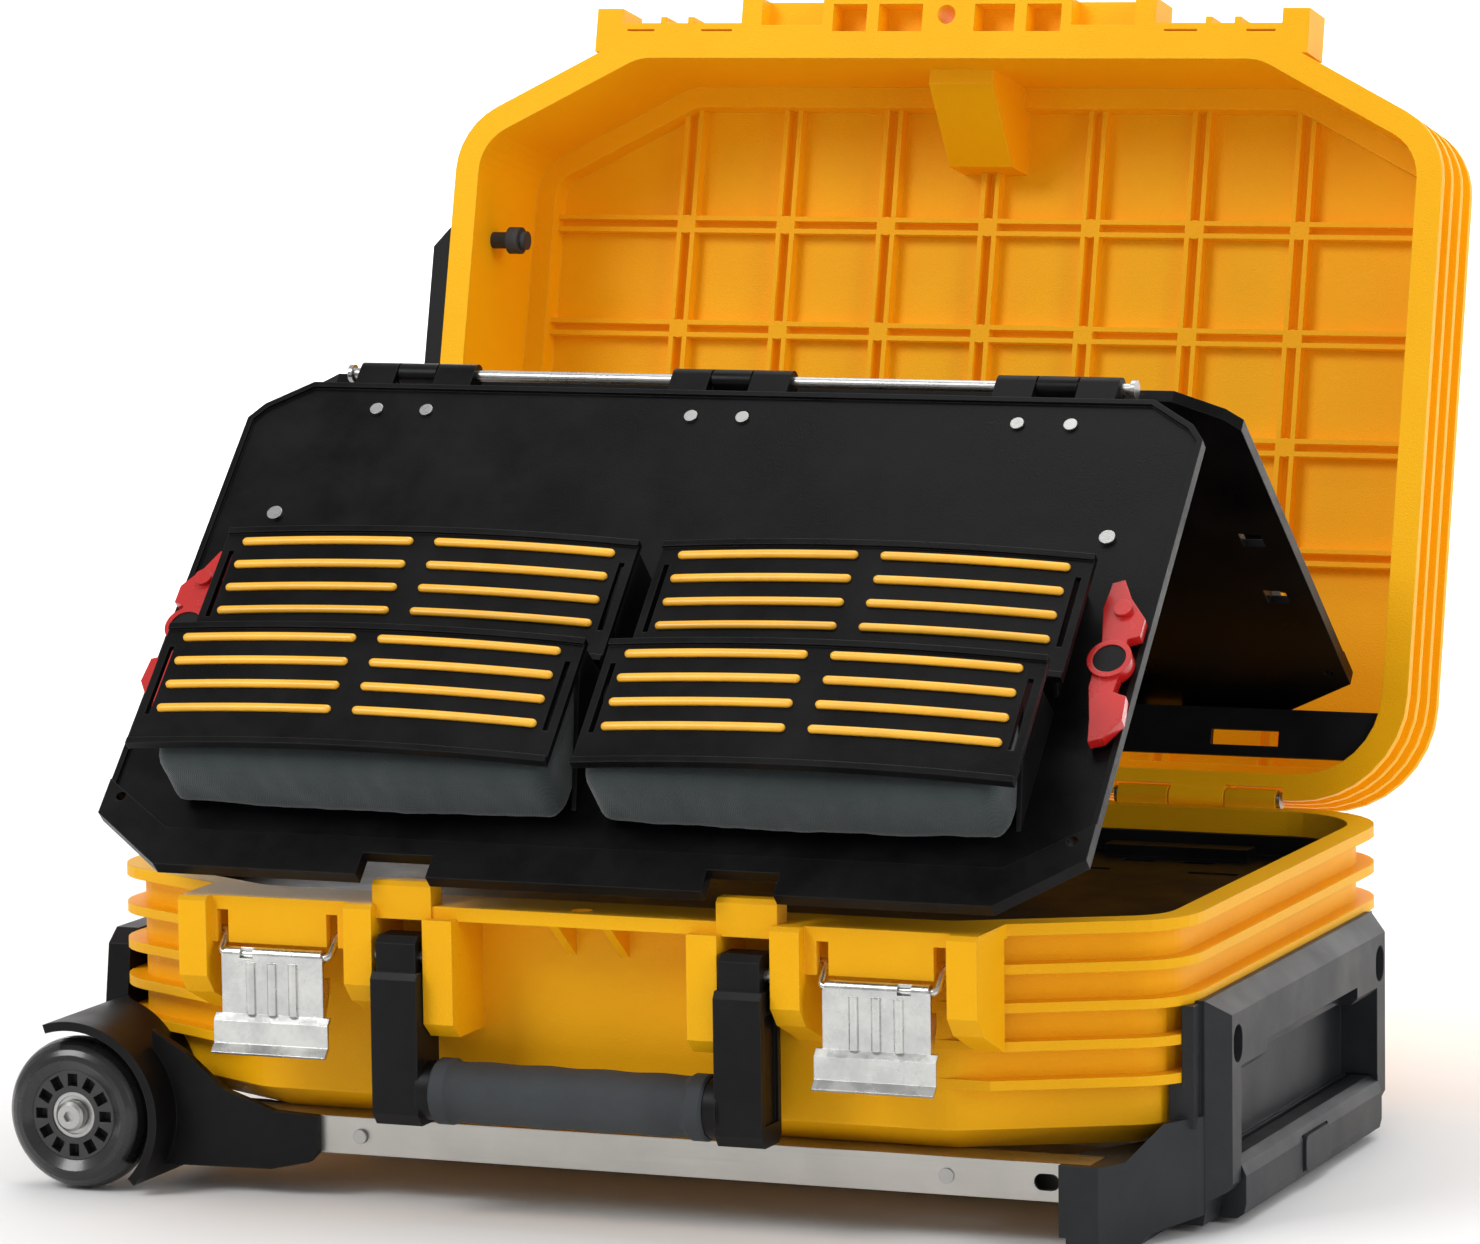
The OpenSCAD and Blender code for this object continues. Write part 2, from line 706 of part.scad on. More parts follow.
module wheel_bracket(front) {
    y = front ? front_wheel_y : rear_wheel_y;
    difference() {
        union() {
            translate([axle_x, y, wheel_z]) mirror([0, front ? 0 : 1, 0]) rotate([90, 0, 0]) {
                mudguard(front ? 47 : 26);
                cheek(front ? cheek_depth : cheek_depth + 6);
            }
            each_rail(front) rail_sleeve();
            bracket_web(front, y);
        }
        tub_space();
        each_rail(front) block(rail_left - 1, sleeve_end + 10, rail_y - slack, rail_y + rail_width + slack,
            rail_z - slack, belly_height + 1);
    }
}

module wheel_bracket_front() { color(black) place() wheel_bracket(true); }
module wheel_bracket_rear() { color(black) place() wheel_bracket(false); }

plate_top = 101;
end_plate_front = 57;
end_plate_rear = 48;

module end_plate() {
    x = -half_x - slack;
    y0 = front_y + end_plate_front;
    y1 = rear_y - end_plate_rear;
    color(black) place() difference() {
        across(x - 10.7, x, [[y0, belly_height + 2], [y0, 70], [y0 + 4, plate_top - 6], [y0 + 12, plate_top],
            [y1 - 20, plate_top], [y1 - 6, plate_top - 8], [y1, 70], [y1, belly_height + 2]]);
        for (i = [0 : 3]) block(x - 12, x - 6, y0 + 29 + i * (y1 - y0 - 60) / 3 - 16, y0 + 29 + i * (y1 - y0 - 60) / 3 + 16,
            belly_height + 16, plate_top - 13);
    }
}

// ---- Chassis ------------------------------------------------------------------------

stud_x = -111;
rivet_x = 154;
lock_x = 197.5;

module rail(front) {
    difference() {
        block(rail_left, rail_right, rail_y, rail_y + rail_width, rail_z, rail_z + rail_height);
        block(rail_left - 1, rail_right + 1, rail_y + tube_wall, rail_y + rail_width - tube_wall,
            rail_z + tube_wall, rail_z + rail_height - tube_wall);
        rod_y(stud_x, rail_y - 1, rail_y + 4, rail_z + rail_height / 2, 6.2);
        rod_y(rivet_x, rail_y - 1, rail_y + 4, rail_z + rail_height / 2, 4);
        block(lock_x - 2, lock_x + 2, rail_y - 1, rail_y + 4, rail_z + 4.5, rail_z + rail_height - 4.5);
        for (side = [-1, 1]) rod_y(lock_x + side * 2, rail_y - 1, rail_y + 4, rail_z + rail_height / 2, 7);
    }
}

module rail_front() { color(steel) place() each_rail(true) rail(); }
module rail_rear() { color(steel) place() each_rail(false) rail(); }

// Sprung studs that stand in the rails, each with its rivet
module rail_studs() {
    color(steel) place() for (front = [true, false]) each_rail(front) {
        z = rail_z + rail_height / 2;
        rod_y(stud_x, rail_y - 2, rail_y + tube_wall + 1, z, 6);
        rod_y(stud_x, rail_y + tube_wall + 0.02, rail_y + rail_width - tube_wall - 0.02, z, 8.6);
        rod_y(rivet_x, rail_y - 0.9, rail_y + tube_wall, z, 3.8);
        rod_y(rivet_x, rail_y - 0.9, rail_y - 0.02, z, 6.4);
    }
}

mid_case_y = (front_y + rear_y) / 2;
tube_left = -140;
pull_x0 = half_x - 3;
pull_x1 = half_x + housing_reach + 2;
pull_z0 = 2.5;
guide_height = 14;
guide_z = pull_z0 + (pull_height - guide_height) / 2;
guide_left = -150;
guide_right = half_x - 10;
tube_play = 0.35;

module at_guides() {
    for (side = [-1, 1]) translate([0, mid_case_y + side * tube_spacing / 2, guide_z + guide_height / 2]) children();
}

module guide_tubes() {
    length = guide_right - guide_left;
    color(steel) place() at_guides() translate([guide_left + length / 2, 0, 0]) difference() {
        cube([length, guide_width, guide_height], center = true);
        cube([length + 2, guide_width - 2 * tube_wall, guide_height - 2 * tube_wall], center = true);
    }
}

module pull_tubes() {
    length = pull_x0 - 0.2 - tube_left;
    color(steel) place() at_guides() translate([tube_left + length / 2, 0, 0]) difference() {
        cube([length, guide_width - 2 * tube_wall - 2 * tube_play, guide_height - 2 * tube_wall - 2 * tube_play],
            center = true);
        cube([length + 2, guide_width - 4 * tube_wall - 2 * tube_play,
            guide_height - 4 * tube_wall - 2 * tube_play], center = true);
    }
}

button_width = 36;
button_height = 15;
button_travel = 2.5;

module pull_grip() {
    z1 = pull_z0 + pull_height;
    y0 = mid_case_y - pull_width / 2;
    y1 = mid_case_y + pull_width / 2;
    color(charcoal) place() difference() {
        along(y0, y1, [[pull_x0, pull_z0 + 3], [pull_x0 + 3, pull_z0], [pull_x1 - 4, pull_z0],
            [pull_x1 - 1, pull_z0 + 2], [pull_x1, pull_z0 + 6], [pull_x1, z1 - 7], [pull_x1 - 2, z1 - 2.5],
            [pull_x1 - 6, z1], [pull_x0 + 3, z1], [pull_x0, z1 - 3]]);
        block(pull_x1 - 7, pull_x1 + 1, mid_case_y - button_width / 2 - slack, mid_case_y + button_width / 2 + slack,
            pull_z0 + 4.5 - slack, pull_z0 + 4.5 + button_height + slack);
    }
}

module release_button() {
    y0 = mid_case_y - button_width / 2;
    z0 = pull_z0 + 4.5;
    color(charcoal) place() translate([pull_x1 - 7 + button_travel + 0.4, y0, z0]) union() {
        translate([0, 3, 0]) cube([5.4, button_width - 6, button_height]);
        translate([0, 0, 3]) cube([5.4, button_width, button_height - 6]);
        for (y = [3, button_width - 3], z = [3, button_height - 3])
            translate([0, y, z]) rotate([0, 90, 0]) cylinder(r = 3, h = 5.4, $fn = 32);
    }
}

plate_low = 16;
plate_high = 97;
plate_half = 110;
plate_chamfer = 9;
socket_hole_z = 77;
socket_hole_y = 102;
face_x = half_x + housing_reach;
wing_x = half_x - 42;

module oval(y, z, wide, tall, x0, x1) {
    rod_x(x0, x1, y, z - (tall - wide) / 2, wide);
    rod_x(x0, x1, y, z + (tall - wide) / 2, wide);
    block(x0, x1, y - wide / 2, y + wide / 2, z - (tall - wide) / 2, z + (tall - wide) / 2);
}

// Face plate with sloped edges, and the wall behind it that the tubes run through
module housing_plate() {
    y0 = mid_case_y - plate_half;
    y1 = mid_case_y + plate_half;
    c = plate_chamfer;
    intersection() {
        linear_extrude(plate_high) polygon([[half_x - 16, y0 - c], [face_x - c, y0 - c], [face_x, y0], [face_x, y1],
            [face_x - c, y1 + c], [half_x - 16, y1 + c]]);
        along(y0 - c, y1 + c, [[half_x - 14, 3], [half_x + 2, 3], [half_x + 4, plate_low - 3], [face_x - 2, plate_low],
            [face_x, plate_low + 3], [face_x, plate_high - 7], [face_x - c, plate_high], [half_x - 10, plate_high],
            [half_x - 10, crease_height], [half_x - 14, belly_height]]);
    }
    // Flange round the tub's corner
    for (front = [true, false]) each_rail(front)
        block(half_x - 10, half_x + 1, y0 - c - 8, y0, crease_height - 2, plate_high - 1);
}

// Wing under one corner, with the foot that the case rests on and the rail's end
module housing_wing() {
    y0 = mid_case_y - plate_half;
    front = rail_y - slack - sleeve_wall;
    intersection() {
        linear_extrude(crease_height + 2) polygon([[wing_x, front], [wing_x + 17, front], [half_x + 1, y0 - 13],
            [half_x + 3, y0 - 8], [half_x + 3, y0 + 12], [wing_x + 26, y0 + 12],
            [wing_x, rail_y + rail_width + slack + sleeve_wall]]);
        along(front - 1, y0 + 13, [[wing_x, 6], [wing_x + 3, 6], [wing_x + 3, 0], [wing_x + 27, 0], [wing_x + 30, 4],
            [face_x, 10], [face_x, crease_height + 2], [wing_x + 34, crease_height + 2], [wing_x + 24, belly_height],
            [wing_x, belly_height]]);
    }
}

module handle_housing() {
    y0 = mid_case_y - pull_width / 2;
    y1 = mid_case_y + pull_width / 2;
    z1 = pull_z0 + pull_height;
    color(charcoal) place() difference() {
        union() {
            housing_plate();
            for (front = [true, false]) each_rail(front) housing_wing();
        }
        tub_space();
        // Hand space above the grip, with its raised middle, and the grip's seat
        block(half_x - 5, face_x + 1, y0, y1, z1, 64);
        block(half_x + 3, face_x + 1, y0 + 35, y1 - 30, z1, 72);
        along(y0, y1, [[half_x + 8, 63], [face_x + 1, 63], [face_x + 1, 68]]);
        block(pull_x0 - 0.1, face_x + 9, y0 - 0.5, y1 + 0.5, -1, z1 + 0.5);
        for (front = [true, false]) each_rail(front) block(wing_x - 4, rail_right + 1, rail_y - slack,
            rail_y + rail_width + slack, rail_z - slack, belly_height + 1);
        at_guides() cube([2 * half_x + 60, guide_width + 2 * slack, guide_height + 2 * slack], center = true);
        for (side = [-1, 1]) oval(mid_case_y + side * socket_hole_y, socket_hole_z, 12, 16, face_x - 8, face_x + 1);
    }
}

module housing_screws() {
    face = face_x;
    color(steel) place() for (side = [-1, 1]) difference() {
        rod_x(face - 7.9, face - 5, mid_case_y + side * socket_hole_y, socket_hole_z, 9);
        translate([face - 5.5, mid_case_y + side * socket_hole_y, socket_hole_z]) rotate([0, 90, 0])
            cylinder(d = 4.5, h = 4, $fn = 6);
    }
}

// ---- Carry handle -------------------------------------------------------------------

core_d = 18;
core_reach = arm_x - arm_width / 2;
grip_half = core_reach - 5.2;

module carry_arm() {
    x0 = arm_x - arm_width / 2;
    x1 = arm_x + arm_width / 2;
    back = arm_front + arm_depth;
    difference() {
        union() {
            across(x0, x1, [[back, arm_bottom + 3], [back - 3, arm_bottom], [arm_front + 4, arm_bottom],
                [arm_front, arm_bottom + 5], [arm_front, 103], [arm_front + 2, 106], [back - 2, 106], [back, 103]]);
            across(x0 + 1.5, x1 - 1.5, [[arm_front + 3, 105], [arm_front + 3, arm_top - 3],
                [arm_front + 6, arm_top], [back - 4, arm_top], [back - 1, arm_top - 3], [back - 1, 105]]);
        }
        rod_x(x0 - 1, x1 + 1, arm_y, handle_z, handle_pin_d + 2 * running);
        // Hollow back with one web
        block(x0 + 3, x1 - 3, arm_y + 1, back + 1, 72, 98);
        block(x1 - 1.6, x1 + 1, arm_front + 4, back - 3, 50, 96);
    }
}

module carry_frame() {
    color(black) place() difference() {
        both_sides() {
            carry_arm();
            rod_x(-1, core_reach + 1, arm_y, grip_z, core_d);
            rod_x(grip_half + 0.2, core_reach + 1, arm_y, grip_z, grip_d - 3);
        }
        rod_x(-core_reach, core_reach, arm_y, grip_z, 10);
    }
}

// Soft sleeve with end collars and shallow finger waves
module carry_grip() {
    r = grip_d / 2;
    waves = 4;
    wave = 0.25;
    length = 2 * grip_half;
    color([0.2, 0.21, 0.22]) place() translate([-grip_half, arm_y, grip_z]) rotate([0, 90, 0])
        rotate_extrude($fn = 64) polygon(concat([[core_d / 2 + running, 0], [r - 1, 0], [r, 1], [r, 7], [r - 0.9, 8.5]],
            [for (i = [0 : 24]) let (t = i / 24) [r - 1.1 - wave * cos(360 * waves * t), 10 + t * (length - 20)]],
            [[r - 0.9, length - 8.5], [r, length - 7], [r, length - 1], [r - 1, length], [core_d / 2 + running, length]]));
}

module carry_pins() {
    color(steel) place() both_sides()
        rod_x(block_outer - 7.5, guard_inner - guard_width + 7.5, arm_y, handle_z, handle_pin_d);
}

// ---- Latches ------------------------------------------------------------------------

// A quarter turn of the wire about +Z
module quarter_bend(turn) { rotate_extrude(angle = 90, $fn = 64) translate([turn, 0]) circle(d = wire_d, $fn = 32); }

// Wire loop that hangs from the guards and carries the lever on its lower run
module latch_bail() {
    drop = norm([bail_pivot_y - bail_y, bail_pivot_z - bail_z]);
    tilt = atan2(bail_pivot_z - bail_z, bail_pivot_y - bail_y);
    turn = 0.8 * wire_d;
    translate([latch_x, bail_pivot_y, bail_pivot_z]) rotate([tilt, 0, 0]) {
        rod_x(turn - slot_reach, slot_reach - turn, -drop, 0, wire_d);
        for (side = [0, 1]) mirror([side, 0, 0]) {
            translate([slot_reach - turn, turn - drop, 0]) rotate([0, 0, -90]) quarter_bend(turn);
            rod_y(slot_reach, turn - drop, -turn, 0, wire_d);
            translate([slot_reach + turn, -turn, 0]) rotate([0, 0, 90]) quarter_bend(turn);
            rod_x(slot_reach + turn, slot_reach + 10, 0, 0, wire_d);
        }
    }
}

module latch_bail_right() { color(steel) place() latch_bail(); }
module latch_bail_left() { color(steel) place() mirror([1, 0, 0]) latch_bail(); }

lever_bottom = 68;

// Pressed sheet lever rolled round the wire at its top and flared at its foot
module latch_lever() {
    t = latch_sheet;
    roll = wire_d + 0.16 + 2 * t;
    y = bail_y - roll / 2;
    w = latch_width / 2;
    difference() {
        union() {
            rod_x(latch_x - w + 4, latch_x + w - 4, bail_y, bail_z, roll);
            across(latch_x - w + 3, latch_x + w - 3, [[y, bail_z], [y, 82], [y + t, 82], [y + t, bail_z]]);
            across(latch_x - w, latch_x + w, [[y, 84], [y - 2.5, 81], [y - 2.5, 71.5], [y - 6, lever_bottom],
                [y - 4.6, lever_bottom - 1], [y - 1.1, 71], [y - 1.1, 80.5], [y + t, 83.4], [y + t, 84]]);
            // Folded flanges at both edges
            for (side = [-1, 1])
                across(latch_x + side * (w - 3 - t / 2) - t / 2, latch_x + side * (w - 3 - t / 2) + t / 2,
                    [[y, 100], [y + 7, 100], [y + 7, 94], [y + 3, 84], [y, 84]]);
            // Three pressed beads
            for (i = [-1 : 1]) intersection() {
                translate([latch_x + i * 9.8, y + 0.2, 84]) cylinder(d = 4.4, h = 22, $fn = 24);
                block(latch_x - w, latch_x + w, y - 3, y + t, 70, 106);
            }
        }
        rod_x(latch_x - w, latch_x + w, bail_y, bail_z, wire_d + 0.16);
        block(latch_x + 9, latch_x + 15, bail_y - 5, bail_y - 1, bail_z - 1.5, bail_z + 5);
    }
}

module latch_lever_right() { color(steel) place() latch_lever(); }
module latch_lever_left() { color(steel) place() mirror([1, 0, 0]) latch_lever(); }

// ---- Organiser ----------------------------------------------------------------------

sheet_z = 1.5;
face_z = sheet_z + panel_sheet;
plate_inner = 5.5;
edge_x = plate_inner + plate_width + panel_margin;
foot_x = 188;
top_gap = 11;

// Both panels are drawn flat: X along, Y up from the foot, Z out of the pocket side.
module on_front() {
    place() translate([0, foot_y, foot_z]) rotate([90 - front_lean, 0, 0]) children();
}

module on_rear() {
    place() translate([0, pin_y, pin_z]) rotate([rear_lean - 90, 0, 0]) translate([0, rear_length, 0])
        rotate([0, 0, 180]) children();
}

module panel_outline(length) {
    polygon([[-foot_x, 0], [foot_x, 0], [edge_x, 25], [edge_x, length - 32], [edge_x - 6, length - 24],
        [edge_x - 26, length - top_gap], [-edge_x + 26, length - top_gap], [-edge_x + 6, length - 24],
        [-edge_x, length - 32], [-edge_x, 25]]);
}

module panel_base(length) {
    translate([0, 0, sheet_z]) linear_extrude(panel_sheet) panel_outline(length);
    translate([0, 0, sheet_z]) linear_extrude(panel_sheet + 1.6) difference() {
        panel_outline(length);
        offset(delta = -2.6) panel_outline(length);
    }
    // Folded foot flange that follows the lower edge
    for (side = [-1, 1]) scale([side, 1, 1]) translate([0, 0, sheet_z]) linear_extrude(panel_sheet + 2.4)
        polygon([[0, 0], [foot_x, 0], [edge_x, 25], [edge_x, 43], [foot_x, 19], [0, 19]]);
}

panel_knuckle = 18;
panel_barrel_d = 10;

module panel_knuckles(length, centres) {
    for (x = centres) difference() {
        union() {
            rod_x(x - panel_knuckle / 2, x + panel_knuckle / 2, length, 0, panel_barrel_d);
            block(x - panel_knuckle / 2, x + panel_knuckle / 2, length - top_gap - 8, length, sheet_z, face_z - 0.5);
        }
        rod_x(x - panel_knuckle / 2 - 1, x + panel_knuckle / 2 + 1, length, 0, hinge_pin_d + 2 * running);
    }
}

hinge_centres = [-150, 0, 150];
knuckle_step = panel_knuckle + 0.8;

module front_panel() {
    color(black) on_front() difference() {
        union() {
            panel_base(front_length);
            panel_knuckles(front_length, [for (c = hinge_centres, side = [-1, 1]) c + side * knuckle_step]);
        }
        // Notches over the tub's hook blocks
        both_sides() block(arm_x - 15.5, arm_x + 16.5, -1, 11, -1, face_z + 4);
        both_sides() translate([edge_x - 8, 34, -1]) cylinder(d = 4.6, h = 12, $fn = 24);
        for (x = hinge_centres) block(x - 34, x + 34, front_length - top_gap - 0.1, front_length + 10, face_z - 0.4, 20);
    }
}

module rear_panel() {
    color(black) on_rear() difference() {
        union() {
            panel_base(rear_length);
            panel_knuckles(rear_length, hinge_centres);
        }
        both_sides() {
            block(edge_x - 22, edge_x - 12, 138, 148, -1, 12);
            block(edge_x - 22, edge_x - 12, 92, 102, -1, 12);
            translate([edge_x - 8, 34, -1]) cylinder(d = 4.6, h = 12, $fn = 24);
        }
        for (x = hinge_centres) block(x - 34, x + 34, rear_length - top_gap - 0.1, rear_length + 10, face_z - 0.4, 20);
    }
}

module panel_pin() {
    color(steel) on_front() {
        rod_x(-edge_x + 40, edge_x - 40, front_length, 0, hinge_pin_d);
        both_sides() rod_x(edge_x - 40.1, edge_x - 38, front_length, 0, hinge_pin_d + 3);
    }
}

plate_sheet = 3;
plate_bow = 5;
lower_s = 35;
upper_s = lower_s + plate_height + 2;
plate_mid = plate_inner + plate_width / 2;
strut_inset = 8;
seat = 0.06;

function bow_z(x, depth) = depth + plate_bow * (1 - pow((x - plate_mid) / (plate_width / 2), 2));

// A bowed sheet from x0 to x1, between two depths, drawn up from s0 to s1
module bowed(x0, x1, s0, s1, low, high) {
    n = 10;
    translate([0, s1, 0]) rotate([90, 0, 0]) linear_extrude(s1 - s0) polygon(concat(
        [for (i = [0 : n]) let (x = x0 + (x1 - x0) * i / n) [x, bow_z(x, low)]],
        [for (i = [n : -1 : 0]) let (x = x0 + (x1 - x0) * i / n) [x, bow_z(x, high)]]));
}

module pocket_plate(s0, out) {
    x0 = plate_inner;
    x1 = plate_inner + plate_width;
    z = face_z + out;
    difference() {
        union() {
            bowed(x0, x1, s0, s0 + plate_height, z, z + plate_sheet);
            bowed(x0, x1, s0 + plate_height - 3, s0 + plate_height, z, z + plate_sheet + 1.2);
            bowed(x0, x1, s0, s0 + 3, z, z + plate_sheet + 1.2);
        }
        for (x = [x0 + 3.5, x1 - 6])
            bowed(x, x + 2.5, s0 + 16, s0 + plate_height - 12, z - 1, z + plate_sheet + 2);
    }
}

// The four plates of one panel
module pocket_plates() {
    both_sides() {
        pocket_plate(lower_s, plate_out);
        pocket_plate(upper_s, upper_out);
    }
}

module front_plates() { color(black) on_front() pocket_plates(); }
module rear_plates() { color(black) on_rear() pocket_plates(); }

strip_top = 7.7;
strip_margin = 9;
strip_gap = 10;

module strips(s0, out) {
    z = face_z + out + plate_sheet;
    middle = plate_mid;
    for (row = [0 : 3], side = [-1, 1]) {
        s1 = s0 + plate_height - strip_top - row * strip_pitch + strip_height / 2;
        x0 = side < 0 ? plate_inner + strip_margin : middle + strip_gap / 2;
        x1 = side < 0 ? middle - strip_gap / 2 : plate_inner + plate_width - strip_margin;
        bowed(x0, x1, s1 - strip_height, s1, z + seat, z + 2);
    }
}

module all_strips() {
    both_sides() {
        strips(lower_s, plate_out);
        strips(upper_s, upper_out);
    }
}

module front_strips() { color([0.97, 0.72, 0.08]) on_front() all_strips(); }
module rear_strips() { color([0.97, 0.72, 0.08]) on_rear() all_strips(); }

strut_sheet = 2;

// Cheeks that carry the plates off the panel
module struts() {
    both_sides() for (x = [plate_inner, plate_inner + plate_width - strut_sheet - strut_inset]) translate([x, 0, 0]) {
        rotate([90, 0, 90]) linear_extrude(strut_sheet) polygon([[upper_s + 6, face_z],
            [upper_s + plate_height - 4, face_z], [upper_s + plate_height - 4, face_z + upper_out],
            [upper_s + 20, face_z + upper_out]]);
        rotate([90, 0, 90]) linear_extrude(strut_sheet) polygon([[lower_s + 4, face_z],
            [lower_s + plate_height, face_z], [lower_s + plate_height - 3, face_z + plate_out],
            [lower_s + plate_height - 14, face_z + plate_out]]);
    }
}

module front_struts() { color(black) on_front() struts(); }
module rear_struts() { color(black) on_rear() struts(); }

pouch_wall = 2;

// Open-topped fabric trough behind each lower plate
module pouches() {
    x0 = plate_inner + strut_sheet + slack;
    x1 = plate_inner + plate_width - strut_sheet - strut_inset - slack;
    z0 = face_z + 0.2;
    z1 = face_z + plate_out - 0.5;
    both_sides() difference() {
        block(x0, x1, lower_s - 1, lower_s + plate_height - 6, z0, z1);
        block(x0 + pouch_wall, x1 - pouch_wall, lower_s - 1 + pouch_wall, lower_s + plate_height,
            z0 + pouch_wall, z1 - pouch_wall);
    }
}

module front_pouches() { color([0.22, 0.26, 0.27]) on_front() pouches(); }
module rear_pouches() { color([0.22, 0.26, 0.27]) on_rear() pouches(); }

clip_x = edge_x - 11.5;
clip_s = 122;
clip_z = face_z + 1.8;
clip_sheet = 5;
clip_disc = 14;

module clip() {
    translate([clip_x, clip_s, clip_z]) difference() {
        union() {
            linear_extrude(clip_sheet) polygon([[-5, 6], [-9, 26], [-8, clip_height * 0.6], [-3, clip_height * 0.6 + 2],
                [2, 32], [10, 22], [10, 13], [5, 11], [6, 0], [5, -16], [11, -18], [12, -30], [6, -clip_height * 0.6],
                [0, -clip_height * 0.6 - 2], [-2, -30], [-6, -14], [-6, 0]]);
            cylinder(d = clip_disc + 5, h = clip_sheet + 1.5, $fn = 48);
            translate([0, 26, 0]) cylinder(d = 8, h = clip_sheet + 2, $fn = 32);
        }
        translate([0, 0, -1]) cylinder(d = clip_disc + 2 * running, h = clip_sheet + 4, $fn = 48);
    }
}

module clip_right() { color([0.85, 0.1, 0.1]) on_front() clip(); }
module clip_left() { color([0.85, 0.1, 0.1]) on_front() mirror([1, 0, 0]) clip(); }

// Black discs that the clips turn on
module clip_caps() {
    color(black) on_front() both_sides() translate([clip_x, clip_s, face_z])
        cylinder(d = clip_disc, h = clip_z - face_z + clip_sheet + 1, $fn = 48);
}

module front_rivets() { color(steel) on_front() rivet_rows(front_length); }
module rear_rivets() { color(steel) on_rear() rivet_rows(rear_length); }

hinge_rivet_x = 12;
hinge_rivet_drop = 14;
side_rivet_inset = 30;
side_rivet_s = 190;

module rivet_rows(length) {
    for (c = hinge_centres, side = [-1, 1])
        translate([c + side * hinge_rivet_x, length - top_gap - hinge_rivet_drop, face_z])
            cylinder(d = 6, h = 1.2, $fn = 32);
    both_sides() translate([edge_x - side_rivet_inset, side_rivet_s, face_z]) cylinder(d = 7, h = 1.6, $fn = 32);
}

tub();
lid();
tray();
hinge_pins();
lid_bumper();
lid_stopper();
side_latch();
foot_bar();
wheel_bracket_front();
wheel_bracket_rear();
end_plate();
tyre_front();
tyre_rear();
hub_front();
hub_rear();
bearings_front();
bearings_rear();
axle_front();
axle_rear();
rail_front();
rail_rear();
rail_studs();
guide_tubes();
handle_housing();
housing_screws();
pull_tubes();
pull_grip();
release_button();
carry_frame();
carry_grip();
carry_pins();
latch_bail_left();
latch_bail_right();
latch_lever_left();
latch_lever_right();
front_panel();
rear_panel();
panel_pin();
front_struts();
rear_struts();
front_plates();
rear_plates();
front_strips();
rear_strips();
front_pouches();
rear_pouches();
clip_left();
clip_right();
clip_caps();
front_rivets();
rear_rivets();
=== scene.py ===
import math

import bmesh
import bpy
from mathutils import Matrix, Vector, noise


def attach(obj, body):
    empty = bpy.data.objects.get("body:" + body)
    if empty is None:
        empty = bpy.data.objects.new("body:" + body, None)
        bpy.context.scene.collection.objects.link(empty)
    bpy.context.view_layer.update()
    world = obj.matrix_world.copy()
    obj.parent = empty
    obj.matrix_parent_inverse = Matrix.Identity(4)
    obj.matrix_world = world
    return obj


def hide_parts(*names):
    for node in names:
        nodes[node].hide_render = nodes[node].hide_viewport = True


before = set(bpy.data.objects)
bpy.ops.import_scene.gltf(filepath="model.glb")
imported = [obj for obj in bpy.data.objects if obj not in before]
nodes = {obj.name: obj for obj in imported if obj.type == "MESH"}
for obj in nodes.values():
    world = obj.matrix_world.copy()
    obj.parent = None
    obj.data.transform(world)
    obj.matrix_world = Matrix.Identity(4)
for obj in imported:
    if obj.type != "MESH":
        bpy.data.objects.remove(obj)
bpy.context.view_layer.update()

# ---- Shader maths --------------------------------------------------------------------


class Value:
    """A socket that can be used in Python expressions."""

    def __init__(self, tree, socket):
        self.tree = tree
        self.socket = socket

    def maths(self, operation, *others):
        return self.tree.node("ShaderNodeMath", {"operation": operation}, [self, *others])

    def __add__(self, other):
        return self.maths("ADD", other)

    def __mul__(self, other):
        return self.maths("MULTIPLY", other)

    def above(self, limit):
        return self.maths("GREATER_THAN", limit)

    def wave(self):
        return self.maths("SINE")


